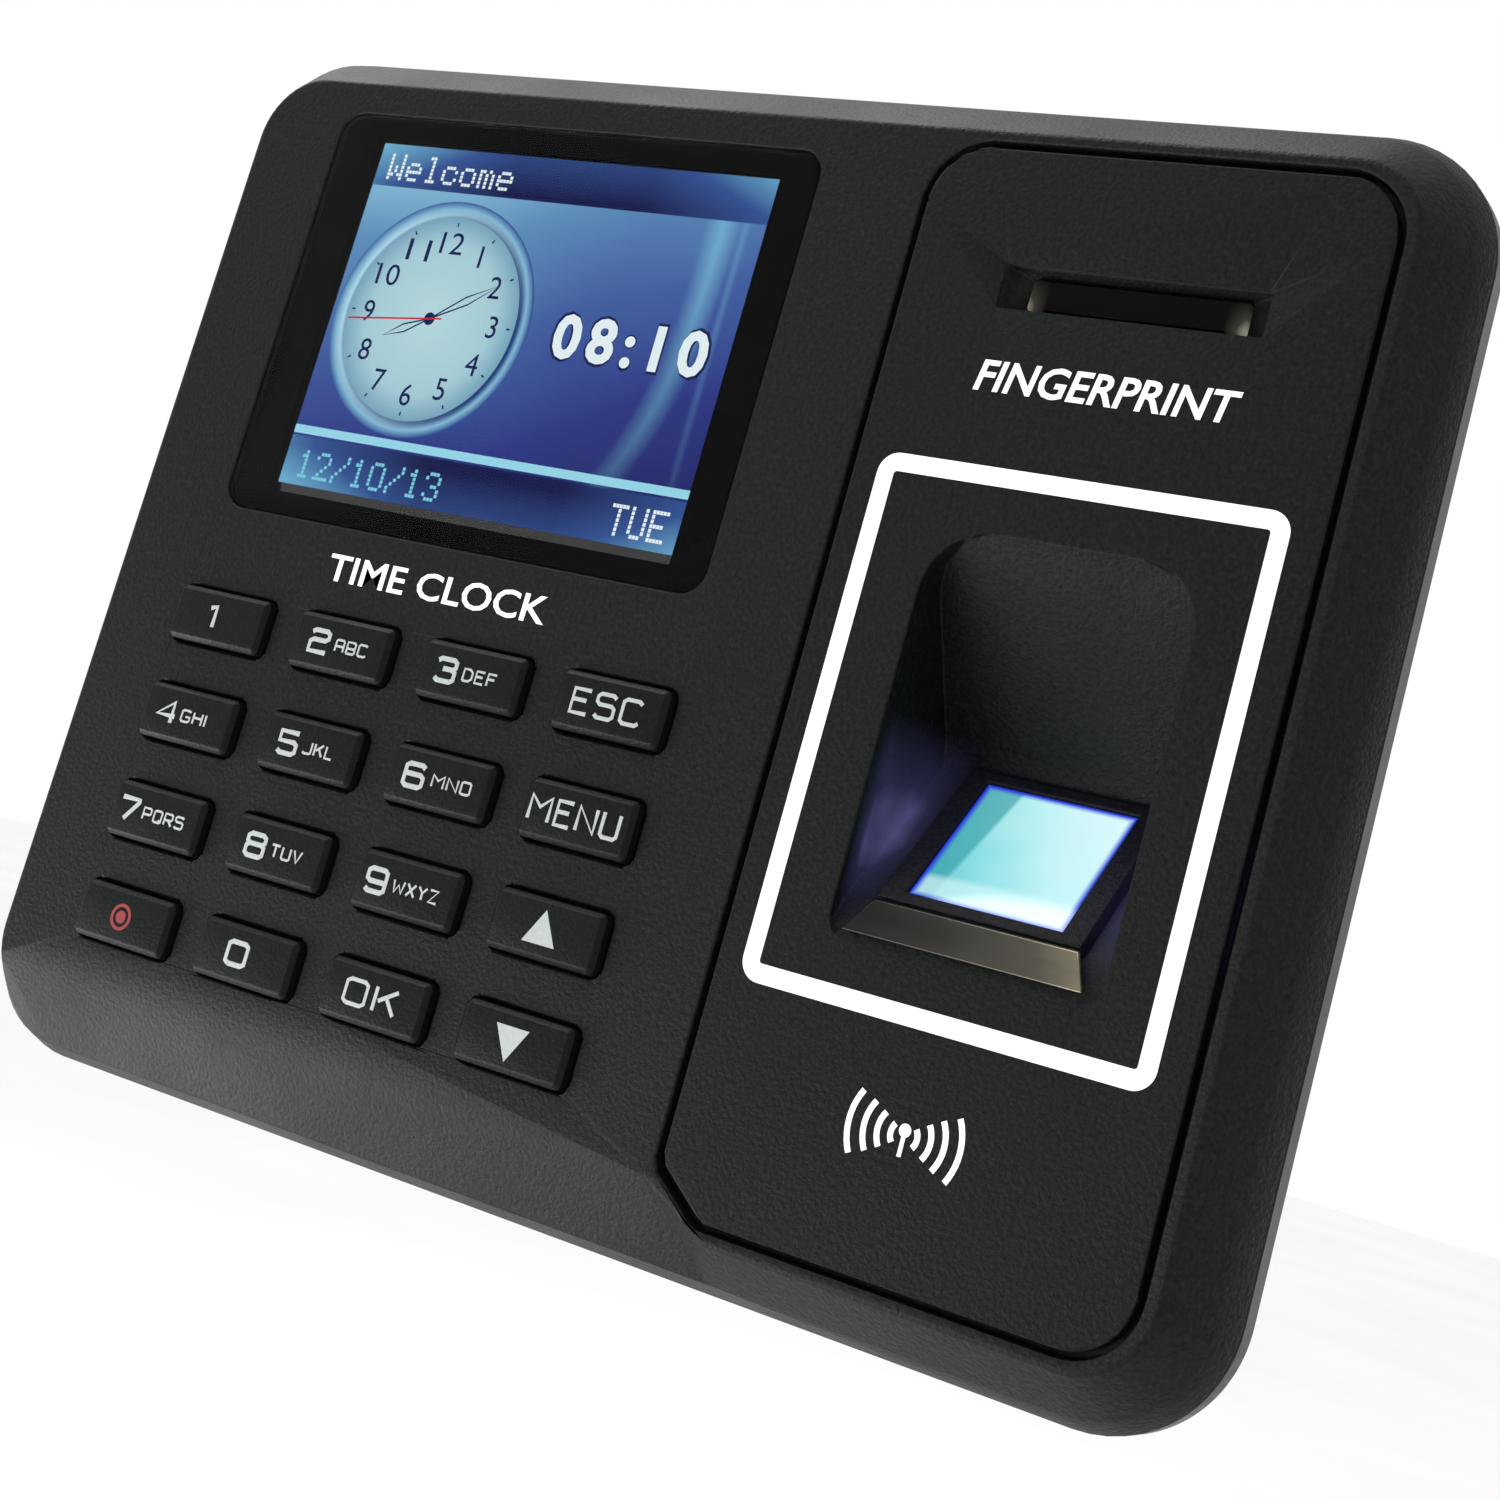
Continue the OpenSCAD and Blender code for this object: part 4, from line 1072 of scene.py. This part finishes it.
def soft_light(name, spot, target, size, power):
    """A large soft lamp aimed at a target."""
    lamp = bpy.data.lights.new(name, "AREA")
    lamp.shape = "RECTANGLE"
    lamp.size, lamp.size_y = size
    lamp.energy = power
    holder = bpy.data.objects.new(name, lamp)
    holder.location = spot
    aim = Vector(target) - Vector(spot)
    holder.rotation_euler = aim.to_track_quat("-Z", "Y").to_euler()
    bpy.context.scene.collection.objects.link(holder)


def make_floor():
    """A pale floor below the terminal, which would hang on a wall."""
    bm = bmesh.new()
    bmesh.ops.create_grid(bm, x_segments=8, y_segments=8, size=6,
                          matrix=Matrix.Translation((0, 0, FLOOR_Z)))
    mesh = bpy.data.meshes.new("pale_floor")
    bm.to_mesh(mesh)
    bm.free()
    material, tree, shader, place = base_shader("pale_floor", (0.93, 0.93, 0.93, 1), 0.8)
    shade = ramp(tree, noise(tree, place, 300, 2.0), [(0.3, (0.92, 0.92, 0.92, 1)),
                                                      (0.7, (0.95, 0.95, 0.95, 1))])
    tree.links.new(shade, shader.inputs["Base Color"])
    mesh.materials.append(material)
    floor = bpy.data.objects.new("pale_floor", mesh)
    bpy.context.scene.collection.objects.link(floor)


def make_light():
    """An even white room with three soft lamps."""
    world = bpy.data.worlds.new("pale_room")
    world.use_nodes = True
    back = world.node_tree.nodes["Background"]
    back.inputs["Color"].default_value = (1, 1, 1, 1)
    back.inputs["Strength"].default_value = 1.0
    bpy.context.scene.world = world
    soft_light("lamp_above", (-0.45, -0.05, 0.75), (0, 0, 0), (0.6, 0.6), 7)
    soft_light("lamp_right", (0.65, 0.75, 0.1), (0.08, 0, 0), (0.5, 0.8), 3)
    soft_light("lamp_below", (-0.25, -0.2, -0.29), (0, 0, -0.06), (0.5, 0.3), 3.5)


def make_camera():
    """A camera low on the right, looking up and across the front."""
    lens = bpy.data.cameras.new("camera")
    lens.lens = 59.1
    lens.sensor_width = 36
    lens.shift_x = -0.076
    lens.shift_y = -0.1303
    lens.clip_start = 0.01
    camera = bpy.data.objects.new("camera", lens)
    camera.location = (0.15194, -0.25082, -0.02785)
    camera.rotation_euler = [math.radians(v) for v in (99.306, -15.210, 28.016)]
    bpy.context.scene.collection.objects.link(camera)
    bpy.context.scene.camera = camera
    bpy.context.scene.view_settings.view_transform = "Standard"


make_camera()
make_light()
make_floor()
finishes = make_finishes()
make_housing(finishes)
make_lens(finishes)
make_keys(finishes)
make_prints(finishes)
make_window(finishes)
make_picture(finishes)
make_clock(finishes)
coat_nodes(finishes)
